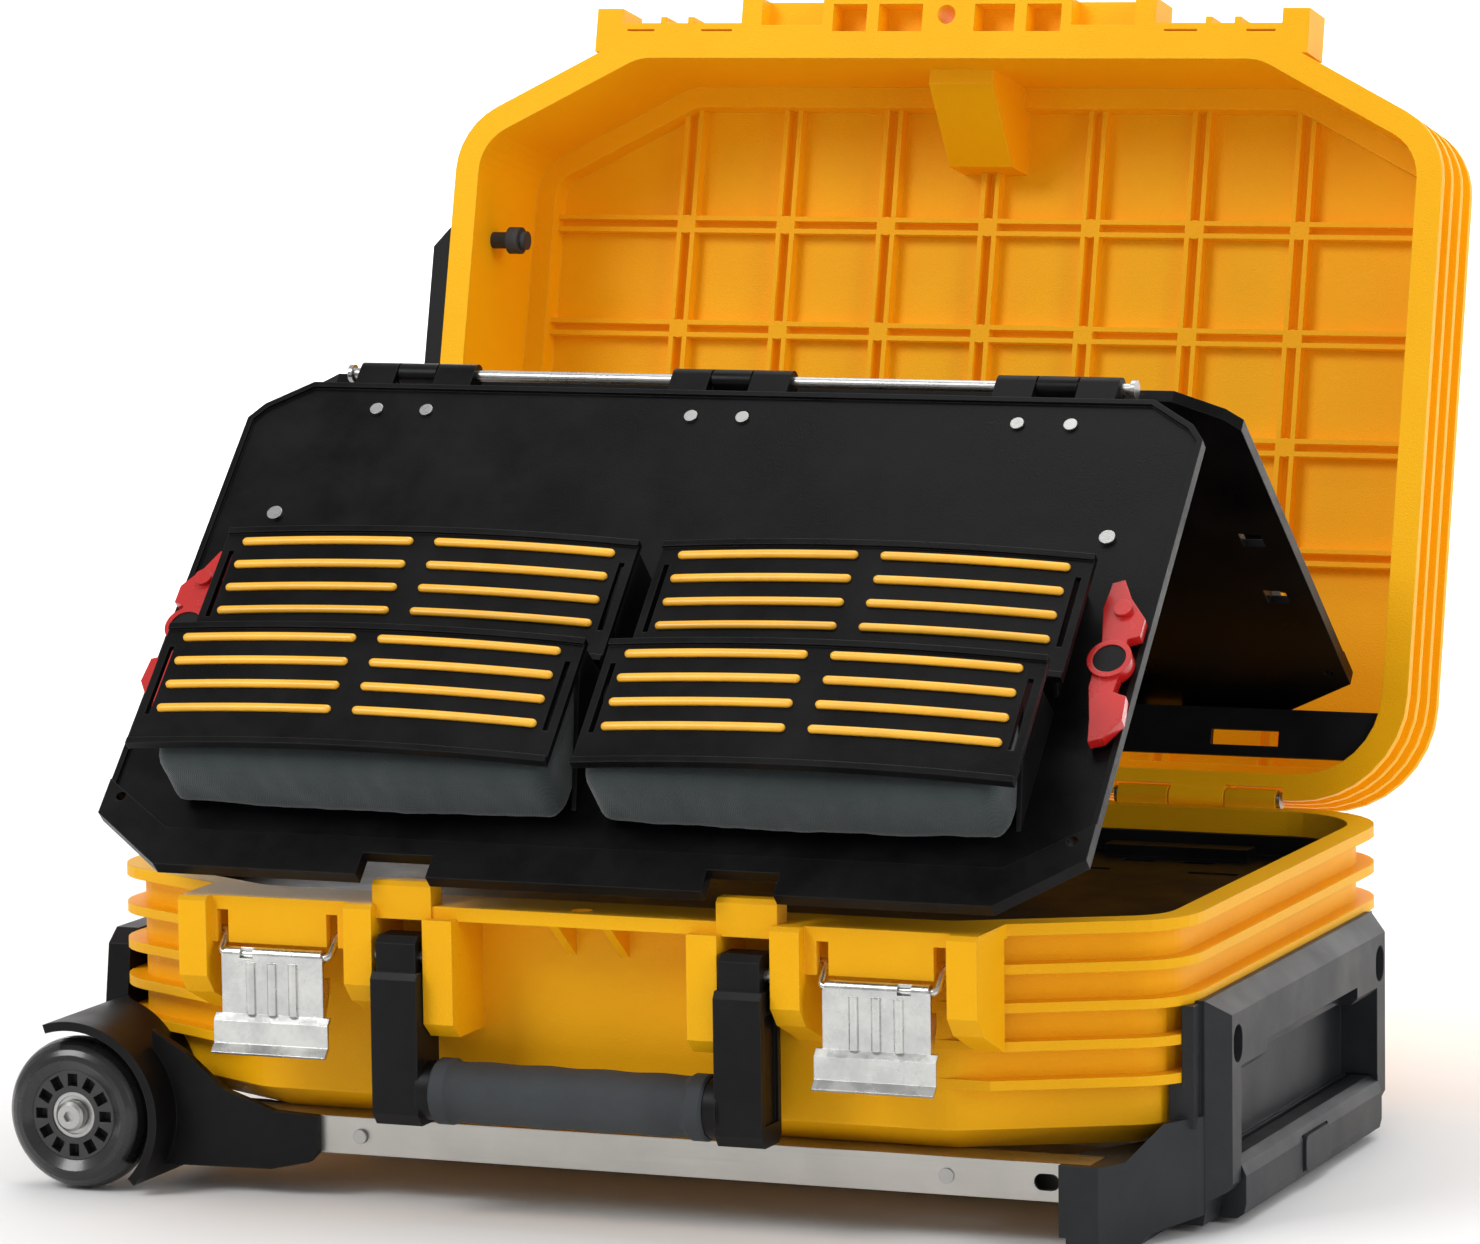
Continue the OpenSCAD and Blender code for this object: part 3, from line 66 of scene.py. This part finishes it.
class Finish:
    """One material and its node tree, ending in a Principled surface."""

    def __init__(self, name, roughness=0.5, metallic=0.0, specular=0.5, coat=0.0, sheen=0.0):
        self.material = bpy.data.materials.new(name)
        self.material.use_nodes = True
        self.nodes = self.material.node_tree.nodes
        self.links = self.material.node_tree.links
        self.surface = self.nodes["Principled BSDF"]
        for socket, number in (("Roughness", roughness), ("Metallic", metallic),
                               ("Specular IOR Level", specular), ("Coat Weight", coat),
                               ("Sheen Weight", sheen)):
            self.surface.inputs[socket].default_value = number
        self.place = self.node("ShaderNodeTexCoord", {}, {}, "Object")

    def node(self, kind, settings=None, inputs=None, output=0):
        made = self.nodes.new(kind)
        for name, setting in (settings or {}).items():
            setattr(made, name, setting)
        pairs = inputs.items() if isinstance(inputs, dict) else enumerate(inputs or [])
        for key, given in pairs:
            self.feed(made.inputs[key], given)
        return Value(self, made.outputs[output])

    def feed(self, socket, given):
        """Joins a Value to the socket, or sets the socket to a plain number or colour."""
        if isinstance(given, Value):
            self.links.new(given.socket, socket)
        elif isinstance(given, tuple) and socket.type == "RGBA" and len(given) == 3:
            socket.default_value = (*given, 1.0)
        else:
            socket.default_value = given

    def noise(self, scale, detail=2.0, roughness=0.5, place=None):
        return self.node("ShaderNodeTexNoise", {},
                         {"Vector": place or self.place, "Scale": scale, "Detail": detail,
                          "Roughness": roughness})

    def cells(self, scale):
        return self.node("ShaderNodeTexVoronoi", {"feature": "F1"}, {"Vector": self.place, "Scale": scale})

    def mix(self, share, first, second):
        """Colour between first and second; the sockets are the factor, A, B and result of an RGBA mix."""
        made = self.nodes.new("ShaderNodeMix")
        made.data_type = "RGBA"
        for key, given in ((0, share), (6, first), (7, second)):
            self.feed(made.inputs[key], given)
        return Value(self, made.outputs[2])

    def axis(self, which):
        return self.node("ShaderNodeSeparateXYZ", {}, [self.place], which)

    def stretched(self, scale):
        return self.node("ShaderNodeMapping", {}, {"Vector": self.place, "Scale": scale})

    def range(self, value, low, high, to_low=0.0, to_high=1.0):
        return self.node("ShaderNodeMapRange", {}, [value, low, high, to_low, to_high])

    def edge_wear(self, radius=0.0012):
        """How much a small rounding of the edges would turn the normal, from 0 to 1."""
        soft = self.node("ShaderNodeBevel", {"samples": 4}, {"Radius": radius})
        hard = self.node("ShaderNodeNewGeometry", {}, {}, "Normal")
        meet = self.node("ShaderNodeVectorMath", {"operation": "DOT_PRODUCT"}, [soft, hard], "Value")
        return self.range(meet, 0.995, 0.86)

    def relief(self, height, distance, strength, rounding=0.0006):
        """Bumps of the given height in metres, over edges that look slightly rounded."""
        soft = self.node("ShaderNodeBevel", {"samples": 4}, {"Radius": rounding})
        bump = self.node("ShaderNodeBump", {}, {"Height": height, "Distance": distance,
                                                "Strength": strength, "Normal": soft})
        self.feed(self.surface.inputs["Normal"], bump)

    def colour(self, given):
        self.feed(self.surface.inputs["Base Color"], given)

    def roughness(self, given):
        self.feed(self.surface.inputs["Roughness"], given)


# ---- Finishes ------------------------------------------------------------------------


def paler(colour, share, lift=0.0):
    return tuple(share * part + lift for part in colour)


def shell_finish(name="shell_amber", painted_glow=0.0):
    """Thick moulding with a leather grain, rubbed paler on its edges. Glow is painted light: the moulding
    emits a little of its own colour, standing in for light that comes through it.
    """
    f = Finish(name, specular=0.16)
    cloud = f.noise(9.0, 4.0)
    grain = f.cells(1500.0)
    fine = f.noise(2600.0, 2.0)
    wear = f.edge_wear() * f.noise(60.0, 3.0).above(0.42)
    body = f.mix(f.range(cloud, 0.35, 0.65), (0.93, 0.435, 0.002), (0.98, 0.49, 0.004))
    body = f.mix(wear * 0.3, body, (1.0, 0.64, 0.06))
    f.colour(body)
    # Painted light: the shell gives off its own colour as emission, so it glows without any lamp.
    f.feed(f.surface.inputs["Emission Color"], body)
    f.surface.inputs["Emission Strength"].default_value = painted_glow
    f.roughness(f.range(fine, 0.2, 0.8, 0.40, 0.56))
    f.relief(grain + fine * 0.5, 0.00025, 0.45)
    return f.material


def black_finish(name="moulded_black", base=(0.005, 0.005, 0.0055), grain_scale=1800.0, rough=0.42,
                 specular=0.16):
    """Satin black moulding with a sparked grain and faint handling marks."""
    f = Finish(name, specular=specular)
    fine = f.noise(grain_scale, 3.0)
    smear = f.noise(25.0, 5.0, 0.65)
    wear = f.edge_wear(0.0008)
    shade = f.mix(f.range(smear, 0.4, 0.7), base, paler(base, 1.6, 0.002))
    f.colour(f.mix(wear * 0.5, shade, (0.035, 0.035, 0.035)))
    f.roughness(f.range(smear, 0.3, 0.7, rough - 0.07, rough + 0.1))
    f.relief(fine, 0.00015, 0.35)
    return f.material


def metal_finish(name, base, rough, stretch):
    """Metal with drawing lines along one axis and cloudy roughness."""
    f = Finish(name, metallic=1.0)
    lines = f.noise(1.0, 3.0, 0.6, f.stretched(stretch))
    cloud = f.noise(35.0, 4.0)
    f.colour(f.mix(f.range(cloud, 0.35, 0.7), base, paler(base, 1.18)))
    f.roughness(f.range(lines + cloud * 0.5, 0.5, 1.0, rough - 0.06, rough + 0.1))
    f.relief(lines, 0.00006, 0.5, 0.0004)
    return f.material


def zinc_finish():
    """Pressed sheet with a bright zinc plating: small spangles and soft stains."""
    f = Finish("zinc_plate", metallic=1.0)
    spangle = f.cells(420.0)
    stain = f.noise(70.0, 5.0, 0.6)
    tone = f.mix(f.range(stain, 0.35, 0.65), (0.5, 0.51, 0.5), (0.72, 0.72, 0.69))
    f.colour(f.mix(spangle * 0.2, tone, (0.9, 0.9, 0.88)))
    f.roughness(f.range(stain, 0.3, 0.7, 0.2, 0.34))
    f.relief(spangle + stain, 0.00005, 0.4, 0.0005)
    return f.material


def rubber_finish(name, base):
    """Dull rubber with a pebbled skin that holds a little dust."""
    f = Finish(name, specular=0.35)
    pebble = f.cells(1300.0)
    fine = f.noise(3000.0, 2.0)
    dust = f.noise(18.0, 5.0)
    f.colour(f.mix(f.range(dust, 0.4, 0.75), base, paler(base, 1.5, 0.006)))
    f.roughness(f.range(fine, 0.2, 0.8, 0.66, 0.78))
    f.relief(pebble + fine * 0.4, 0.0002, 0.5)
    return f.material


def fabric_finish(name="pouch_weave", thread=0.0011, tint=1.0):
    """Plain-woven nylon: crossing threads in a slate tone, with a painted highlight that makes the raised
    crossings paler.
    """
    f = Finish(name, roughness=0.86, specular=0.25, sheen=0.3)
    pitch = 2 * math.pi / thread
    across = f.axis("X") * pitch
    along = (f.axis("Z") + f.axis("Y") * 0.5) * (pitch * 1.1)
    weave = across.wave() * along.wave()
    fuzz = f.noise(900.0, 3.0)
    cloud = f.noise(14.0, 3.0)
    dark, light, painted_thread_highlight = (0.02, 0.028, 0.028), (0.034, 0.045, 0.046), (0.055, 0.07, 0.071)
    tone = f.mix(f.range(cloud, 0.35, 0.7), paler(dark, tint), paler(light, tint))
    # Painted highlight: where the weave stands highest the colour moves to a paler thread tone, as if the
    # crossings caught the light.
    f.colour(f.mix(f.range(weave, -1.0, 1.0) * 0.5, tone, paler(painted_thread_highlight, tint)))
    f.relief(weave * 0.5 + fuzz * 0.6, 0.0003, 0.7)
    return f.material


def gloss_finish(name, base, rough, coat):
    """Shiny moulding with slow ripples and finger smears."""
    f = Finish(name, specular=0.5, coat=coat)
    f.surface.inputs["Coat Roughness"].default_value = 0.12
    ripple = f.noise(90.0, 3.0)
    smear = f.noise(30.0, 5.0, 0.7)
    f.colour(f.mix(f.range(smear, 0.45, 0.8), base, paler(base, 1.25, 0.004)))
    f.roughness(f.range(smear, 0.3, 0.7, rough, rough + 0.12))
    f.relief(ripple, 0.0001, 0.3)
    return f.material


amber = shell_finish()
# The lid gets a painted glow: emission that stands in for light shining through the moulding.
lid_amber = shell_finish("lid_amber", painted_glow=0.08)
black = black_finish()
charcoal = black_finish("moulded_charcoal", (0.014, 0.016, 0.018), grain_scale=1500.0, rough=0.44,
                        specular=0.28)
panel_black = black_finish("panel_black", (0.002, 0.002, 0.0024), grain_scale=1200.0, rough=0.32,
                           specular=0.12)
steel = metal_finish("turned_steel", (0.42, 0.42, 0.41), rough=0.3, stretch=(900.0, 900.0, 900.0))
aluminium = metal_finish("drawn_aluminium", (0.5, 0.49, 0.46), rough=0.34, stretch=(12.0, 2400.0, 2400.0))
zinc = zinc_finish()
grip_rubber = rubber_finish("grip_rubber", (0.035, 0.04, 0.044))
tyre_black = gloss_finish("tyre_black", (0.012, 0.012, 0.013), rough=0.22, coat=0.3)
hub_black = gloss_finish("hub_black", (0.014, 0.014, 0.015), rough=0.26, coat=0.3)
strip_yellow = gloss_finish("strip_yellow", (0.93, 0.46, 0.02), rough=0.3, coat=0.2)
clip_red = gloss_finish("clip_red", (0.55, 0.012, 0.01), rough=0.2, coat=0.5)
weave = fabric_finish()
binding = fabric_finish("hem_tape", thread=0.0007, tint=0.8)

# Which nodes each finish goes on
FINISHES = {
    amber: ["tub"],
    lid_amber: ["lid"],
    black: ["side_latch", "tray", "wheel_bracket_front", "wheel_bracket_rear", "end_plate", "lid_bumper",
            "foot_bar", "carry_frame", "front_struts", "rear_struts", "clip_caps"],
    panel_black: ["front_panel", "rear_panel", "front_plates", "rear_plates"],
    charcoal: ["handle_housing", "pull_grip", "release_button"],
    steel: ["hinge_pins", "axle_front", "axle_rear", "rail_studs", "housing_screws", "carry_pins",
            "bearings_front", "bearings_rear", "panel_pin", "front_rivets", "rear_rivets"],
    zinc: ["latch_bail_left", "latch_bail_right", "latch_lever_left", "latch_lever_right"],
    aluminium: ["rail_front", "rail_rear", "guide_tubes", "pull_tubes"],
    grip_rubber: ["carry_grip", "lid_stopper"],
    tyre_black: ["tyre_front", "tyre_rear"],
    hub_black: ["hub_front", "hub_rear"],
    strip_yellow: ["front_strips", "rear_strips"],
    clip_red: ["clip_left", "clip_right"],
    weave: ["front_pouches", "rear_pouches"],
}

for finish, names in FINISHES.items():
    for name in names:
        slots = nodes[name].data.materials
        slots.clear()
        slots.append(finish)

# ---- Where the organiser's panels lie, in millimetres ---------------------------------

MIDDLE = Vector((-4.6, 74.4, 0.0))
FOOT = Vector((0.0, -190.0, 141.5))
TOP_PIN = Vector((0.0, 1.7204, 338.6505))
FRONT_LEAN = math.radians(44.2)
REAR_LEAN = math.radians(51.0)
REAR_LENGTH = 262.0
METRE = 1000.0


def on_front(x, s, d):
    """A point of the front panel: across, up from the foot, and out of its pocket side."""
    up = Vector((0.0, math.sin(FRONT_LEAN), math.cos(FRONT_LEAN)))
    out = Vector((0.0, -math.cos(FRONT_LEAN), math.sin(FRONT_LEAN)))
    return (FOOT + Vector((x, 0.0, 0.0)) + s * up + d * out - MIDDLE) / METRE


def on_rear(x, s, d):
    """The same for the rear panel, which faces the lid."""
    down = Vector((0.0, math.sin(REAR_LEAN), -math.cos(REAR_LEAN)))
    out = Vector((0.0, math.cos(REAR_LEAN), math.sin(REAR_LEAN)))
    return (TOP_PIN + Vector((-x, 0.0, 0.0)) + (REAR_LENGTH - s) * down + d * out - MIDDLE) / METRE


def make_piece(name, vertices, faces, finish, body):
    """One smooth piece that rides on a body of the frame."""
    mesh = bpy.data.meshes.new(name)
    mesh.from_pydata(vertices, [], faces)
    shape = bmesh.new()
    shape.from_mesh(mesh)
    bmesh.ops.remove_doubles(shape, verts=shape.verts, dist=1e-6)
    bmesh.ops.recalc_face_normals(shape, faces=shape.faces)
    for face in shape.faces:
        face.smooth = True
    shape.to_mesh(mesh)
    shape.free()
    mesh.materials.append(finish)
    piece = bpy.data.objects.new(name, mesh)
    bpy.context.scene.collection.objects.link(piece)
    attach(piece, body)
    return piece


def settle(piece):
    """Applies the piece's modifiers to its mesh."""
    bpy.context.view_layer.update()
    made = bpy.data.meshes.new_from_object(piece.evaluated_get(bpy.context.evaluated_depsgraph_get()))
    piece.modifiers.clear()
    piece.data = made


def grid_faces(rows, columns, closed=False):
    """Quads between rows of points; closed joins each row's last point to its first."""
    wrap = columns if closed else columns - 1
    return [(r * columns + c, r * columns + (c + 1) % columns, (r + 1) * columns + (c + 1) % columns,
             (r + 1) * columns + c) for r in range(rows - 1) for c in range(wrap)]


# ---- Fabric pouches behind the lower plates -------------------------------------------

POUCH_INNER, POUCH_OUTER = 8.4, 187.6
POUCH_TOP, POUCH_LOW = 91.5, 34.5
POUCH_BACK, POUCH_FRONT = 6.6, 39.2
POUCH_ROUND = 6.0
POUCH_CENTRE, POUCH_HALF = (POUCH_FRONT + POUCH_BACK) / 2, (POUCH_FRONT - POUCH_BACK) / 2
CLOTH_THICK = 0.0013
# How far the sag reaches up from the bottom and the bulge back from the front
SAG_REACH, BULGE_REACH = 9.0, 9.0
# Section of the bound hem: along the mouth's height and out from the cloth
HEM = [(-7.0, 1.15), (-6.6, 1.4), (-0.6, 1.45), (0.5, 1.0), (0.9, 0.0), (0.5, -1.0), (-0.6, -1.45),
       (-6.6, -1.4), (-7.0, -1.15)]


def trough_path(count=46):
    """Section of the trough from its back edge down, along the bottom and up to its front edge."""
    sines = [(1 - math.sin(a), 1 - math.cos(a)) for a in (k / 6 * math.pi / 2 for k in range(7))]
    line = [(POUCH_TOP, POUCH_BACK)]
    line += [(POUCH_LOW + POUCH_ROUND * rise, POUCH_BACK + POUCH_ROUND * run) for rise, run in sines]
    line += [(POUCH_LOW + POUCH_ROUND * run, POUCH_FRONT - POUCH_ROUND * rise) for rise, run in sines]
    line.append((POUCH_TOP, POUCH_FRONT))
    lengths = [0.0]
    for (s0, d0), (s1, d1) in zip(line, line[1:]):
        lengths.append(lengths[-1] + math.hypot(s1 - s0, d1 - d0))
    path, k = [], 0
    for i in range(count):
        want = lengths[-1] * i / (count - 1)
        while k < len(line) - 2 and lengths[k + 1] < want:
            k += 1
        t = (want - lengths[k]) / (lengths[k + 1] - lengths[k])
        path.append(tuple(a + (b - a) * t for a, b in zip(line[k], line[k + 1])))
    return path


def pouch_rings():
    """Where the section stands across the pouch, and how far it has closed in there."""
    end = []
    for k in range(6):
        a = k / 5 * math.pi / 2
        end.append((POUCH_ROUND * (1 - math.sin(a)), POUCH_ROUND * (1 - math.cos(a)) / POUCH_HALF))
    closing = [(0.0, end[-1][1] + (1.0 - end[-1][1]) * k / 4) for k in range(1, 5)]
    side = list(reversed(closing)) + list(reversed(end))
    rings = [(POUCH_INNER + x, share) for x, share in side]
    inner, outer = POUCH_INNER + POUCH_ROUND, POUCH_OUTER - POUCH_ROUND
    rings += [(inner + (outer - inner) * k / 60, 0.0) for k in range(1, 60)]
    rings += [(POUCH_OUTER - x, share) for x, share in reversed(side)]
    return rings


def hump(share):
    """Nought at both ends and one in the middle."""
    return math.sin(math.pi * min(max(share, 0.0), 1.0))


def slack(x, s, d, seed):
    """How the cloth hangs: the bottom sags, the front rolls out under the plate, small creases."""
    middle = max(0.0, hump((x - POUCH_INNER) / (POUCH_OUTER - POUCH_INNER))) ** 0.5
    deep = hump((d - POUCH_BACK) / (POUCH_FRONT - POUCH_BACK))
    low = max(0.0, 1.0 - (s - POUCH_LOW) / SAG_REACH) ** 1.5
    front = max(0.0, (d - POUCH_FRONT + BULGE_REACH) / BULGE_REACH)
    crease = noise.noise(Vector((x * 0.045 + seed, s * 0.09, d * 0.07)))
    fine = noise.noise(Vector((x * 0.16 + seed, s * 0.12, d * 0.1 + 9.0)))
    drop = low * (2.0 + 3.2 * middle * deep ** 0.4 + 0.9 * crease + 0.5 * fine)
    out = front * (0.4 * middle + 0.5 * crease + low * (2.2 * middle + 0.8 * fine))
    return s - drop, d + out


def add_pouch(name, place, sign, body, node, seed):
    """One woven pouch, closed in at both ends, with its hem."""
    path, rings = trough_path(), pouch_rings()
    points = []
    for x, share in rings:
        for s, d in path:
            to_s, to_d = max(s, POUCH_LOW + POUCH_HALF), POUCH_CENTRE
            s1, d1 = slack(x, s + (to_s - s) * share, d + (to_d - d) * share, seed)
            side = 0.35 * noise.noise(Vector((s1 * 0.08, d1 * 0.08, seed))) if share > 0.3 else 0.0
            points.append(place(sign * (x + side), s1, d1))
    piece = make_piece(name, points, grid_faces(len(rings), len(path)), weave, body)
    cloth = piece.modifiers.new("cloth", "SOLIDIFY")
    cloth.thickness = CLOTH_THICK
    cloth.offset = 0.0
    settle(piece)
    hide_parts(node)
    add_hem(name + "_hem", place, sign, body, seed)


def add_hem(name, place, sign, body, seed):
    """Binding along a pouch's mouth, folded over both faces of the cloth."""
    width = POUCH_OUTER - POUCH_INNER
    mouth = [(POUCH_INNER, 0.5)] + [(POUCH_INNER + 2 + (width - 4) * k / 40, 0.0) for k in range(41)]
    mouth.append((POUCH_OUTER, 0.5))
    depth = POUCH_FRONT - POUCH_BACK
    loop = [(x, POUCH_FRONT - share * depth / 4) for x, share in mouth]
    loop += [(x, POUCH_BACK + share * depth / 4) for x, share in reversed(mouth)]
    middle_x = (POUCH_INNER + POUCH_OUTER) / 2
    hem = []
    for x, d in loop:
        across, away = (x - middle_x) / (POUCH_OUTER - middle_x), (d - POUCH_CENTRE) / POUCH_HALF
        if abs(away) > 0.6:
            across, away = 0.0, math.copysign(1.0, away)
        else:
            across, away = math.copysign(1.0, across), 0.0
        hangs = slack(x, POUCH_TOP, d, seed)[1]
        for rise, out in HEM:
            hem.append(place(sign * (x + across * out), POUCH_TOP + rise, hangs + away * out))
    faces = grid_faces(len(loop), len(HEM), True)
    last = (len(loop) - 1) * len(HEM)
    faces += [(last + c, last + (c + 1) % len(HEM), (c + 1) % len(HEM), c) for c in range(len(HEM))]
    make_piece(name, hem, faces, binding, body)


# ---- Rounded grip strips on the plates --------------------------------------------------

PLATE_MIDDLE, PLATE_HALF, PLATE_BOW = 102.0, 96.5, 5.0
# Each plate's low edge, and how far its face stands off the panel
PLATES = ((35.0, 44.56), (101.0, 26.56))
STRIP_HALF, STRIP_HIGH = 2.0, 1.9
# From where to where the strips run, the top row above the plate's low edge, and the rows' pitch
STRIP_REACHES = ((14.5, 97.0), (107.0, 189.5))
TOP_ROW, ROW_PITCH, ROWS = 56.3, 12.5, 4


def add_strips(name, place, body, node):
    """All the strips of one panel's four plates, as one piece."""
    points, faces = [], []
    for sign in (-1, 1):
        for low, out in PLATES:
            for row in range(ROWS):
                for reach in STRIP_REACHES:
                    add_bar(points, faces, place, sign, reach, low + TOP_ROW - ROW_PITCH * row, out)
    strips = make_piece(name, points, faces, strip_yellow, body)
    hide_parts(node)


def add_bar(points, faces, place, sign, reach, s_mid, out):
    """One domed bar with round ends that follows the plate's bow."""
    start, (x0, x1) = len(points), reach
    ends = [STRIP_HALF * (1 - math.cos(k / 5 * math.pi / 2)) for k in range(6)]
    places = [x0 + e for e in ends]
    places += [x0 + (x1 - x0) * k / 20 for k in range(1, 20)]
    places += [x1 - e for e in reversed(ends)]
    across = 11
    for x in places:
        near = min(x - x0, x1 - x, STRIP_HALF)
        size = math.sqrt(max(0.0, 1 - (1 - near / STRIP_HALF) ** 2))
        base = out + PLATE_BOW * (1 - ((x - PLATE_MIDDLE) / PLATE_HALF) ** 2)
        for k in range(across):
            a = math.pi * k / (across - 1)
            points.append(place(sign * x, s_mid + STRIP_HALF * size * math.cos(a),
                                base + STRIP_HIGH * size ** 0.5 * math.sin(a) ** 0.8))
    rows = len(places)
    faces += [tuple(start + n for n in face) for face in grid_faces(rows, across, True)]


add_strips("front_grip_strips", on_front, "organiser_front", "front_strips")
add_strips("rear_grip_strips", on_rear, "organiser_rear", "rear_strips")

for side, sign in (("left", -1), ("right", 1)):
    add_pouch("front_pouch_" + side, on_front, sign, "organiser_front", "front_pouches", 3.0 + sign)
    add_pouch("rear_pouch_" + side, on_rear, sign, "organiser_rear", "rear_pouches", 7.0 + sign)

# ---- Camera, floor and light ---------------------------------------------------------

CAMERA_PLACE = (1.1025, -2.7788, 0.5820)
CAMERA_TURN, CAMERA_DOWN, CAMERA_ROLL = 22.067, 6.814, -0.742
# The focal length in pixels, over the frame's width in pixels
LENS, FRAME_WIDTH, SENSOR = 6727.0, 1480.0, 36.0
# The floor's front edge, where it starts to bend, the bend's radius and its top
FLOOR_START, FLOOR_BEND, BEND_RADIUS, FLOOR_TOP, FLOOR_HALF = -4.0, 2.6, 1.2, 5.0, 6.0
FLOOR_LEVEL = -0.0002
WORLD_STRENGTH = 0.42


def set_camera():
    azimuth, down, roll = (math.radians(a) for a in (CAMERA_TURN, CAMERA_DOWN, CAMERA_ROLL))
    ahead = Vector((-math.sin(azimuth) * math.cos(down), math.cos(azimuth) * math.cos(down), -math.sin(down)))
    right = Vector((math.cos(azimuth), math.sin(azimuth), 0.0))
    up = right.cross(ahead)
    turned_right = math.cos(roll) * right + math.sin(roll) * up
    turned_up = -math.sin(roll) * right + math.cos(roll) * up
    camera = bpy.data.objects.new("camera", bpy.data.cameras.new("camera"))
    camera.data.sensor_width = SENSOR
    camera.data.lens = LENS / FRAME_WIDTH * SENSOR
    camera.data.clip_end = 50.0
    bpy.context.scene.collection.objects.link(camera)
    axes = Matrix((turned_right, turned_up, -ahead)).transposed().to_4x4()
    camera.matrix_world = Matrix.Translation(CAMERA_PLACE) @ axes
    bpy.context.scene.camera = camera


def add_lamp(name, place, target, size, power):
    lamp = bpy.data.objects.new(name, bpy.data.lights.new(name, "AREA"))
    lamp.data.shape = "RECTANGLE"
    lamp.data.size, lamp.data.size_y = size
    lamp.data.energy = power
    lamp.location = place
    lamp.rotation_euler = (Vector(target) - Vector(place)).to_track_quat("-Z", "Y").to_euler()
    bpy.context.scene.collection.objects.link(lamp)


def set_floor():
    """Pale paper that runs along the floor and up behind the case in one sweep. It is clear from behind."""
    line = [(FLOOR_START, FLOOR_LEVEL), (FLOOR_BEND, FLOOR_LEVEL)]
    for k in range(1, 13):
        a = k / 12 * math.pi / 2
        line.append((FLOOR_BEND + BEND_RADIUS * math.sin(a), BEND_RADIUS * (1 - math.cos(a))))
    line.append((FLOOR_BEND + BEND_RADIUS, FLOOR_TOP))
    mesh = bpy.data.meshes.new("floor")
    points = [(x, y, z) for y, z in line for x in (-FLOOR_HALF, FLOOR_HALF)]
    mesh.from_pydata(points, [], grid_faces(len(line), 2))
    for face in mesh.polygons:
        face.use_smooth = True
    if mesh.polygons[0].normal.z < 0:
        mesh.flip_normals()
    floor = bpy.data.objects.new("floor", mesh)
    bpy.context.scene.collection.objects.link(floor)
    paper = Finish("floor_paper", roughness=0.9, specular=0.2)
    fibre = paper.noise(3.0, 3.0)
    paper.colour(paper.mix(fibre, (0.88, 0.88, 0.88), (0.91, 0.91, 0.91)))
    from_behind = paper.node("ShaderNodeNewGeometry", {}, {}, "Backfacing")
    paper.feed(paper.surface.inputs["Alpha"], paper.range(from_behind, 0.0, 1.0, 1.0, 0.0))
    floor.data.materials.append(paper.material)
    world = bpy.data.worlds.new("studio")
    bpy.context.scene.world = world
    world.use_nodes = True
    background = world.node_tree.nodes["Background"]
    background.inputs["Color"].default_value = (1.0, 1.0, 1.0, 1.0)
    background.inputs["Strength"].default_value = WORLD_STRENGTH


bpy.context.scene.view_settings.view_transform = "Standard"
set_camera()
set_floor()
add_lamp("key", (-1.7, -2.3, 2.4), (0.0, 0.0, 0.25), (1.4, 1.4), 52.0)
add_lamp("side", (2.8, -1.0, 1.3), (0.0, 0.0, 0.2), (1.0, 1.6), 22.0)
add_lamp("top", (0.0, 0.5, 2.6), (0.0, 0.0, 0.2), (2.0, 2.0), 34.0)
add_lamp("backdrop", (0.0, 2.0, 2.4), (0.0, 3.7, 0.8), (4.0, 1.2), 130.0)
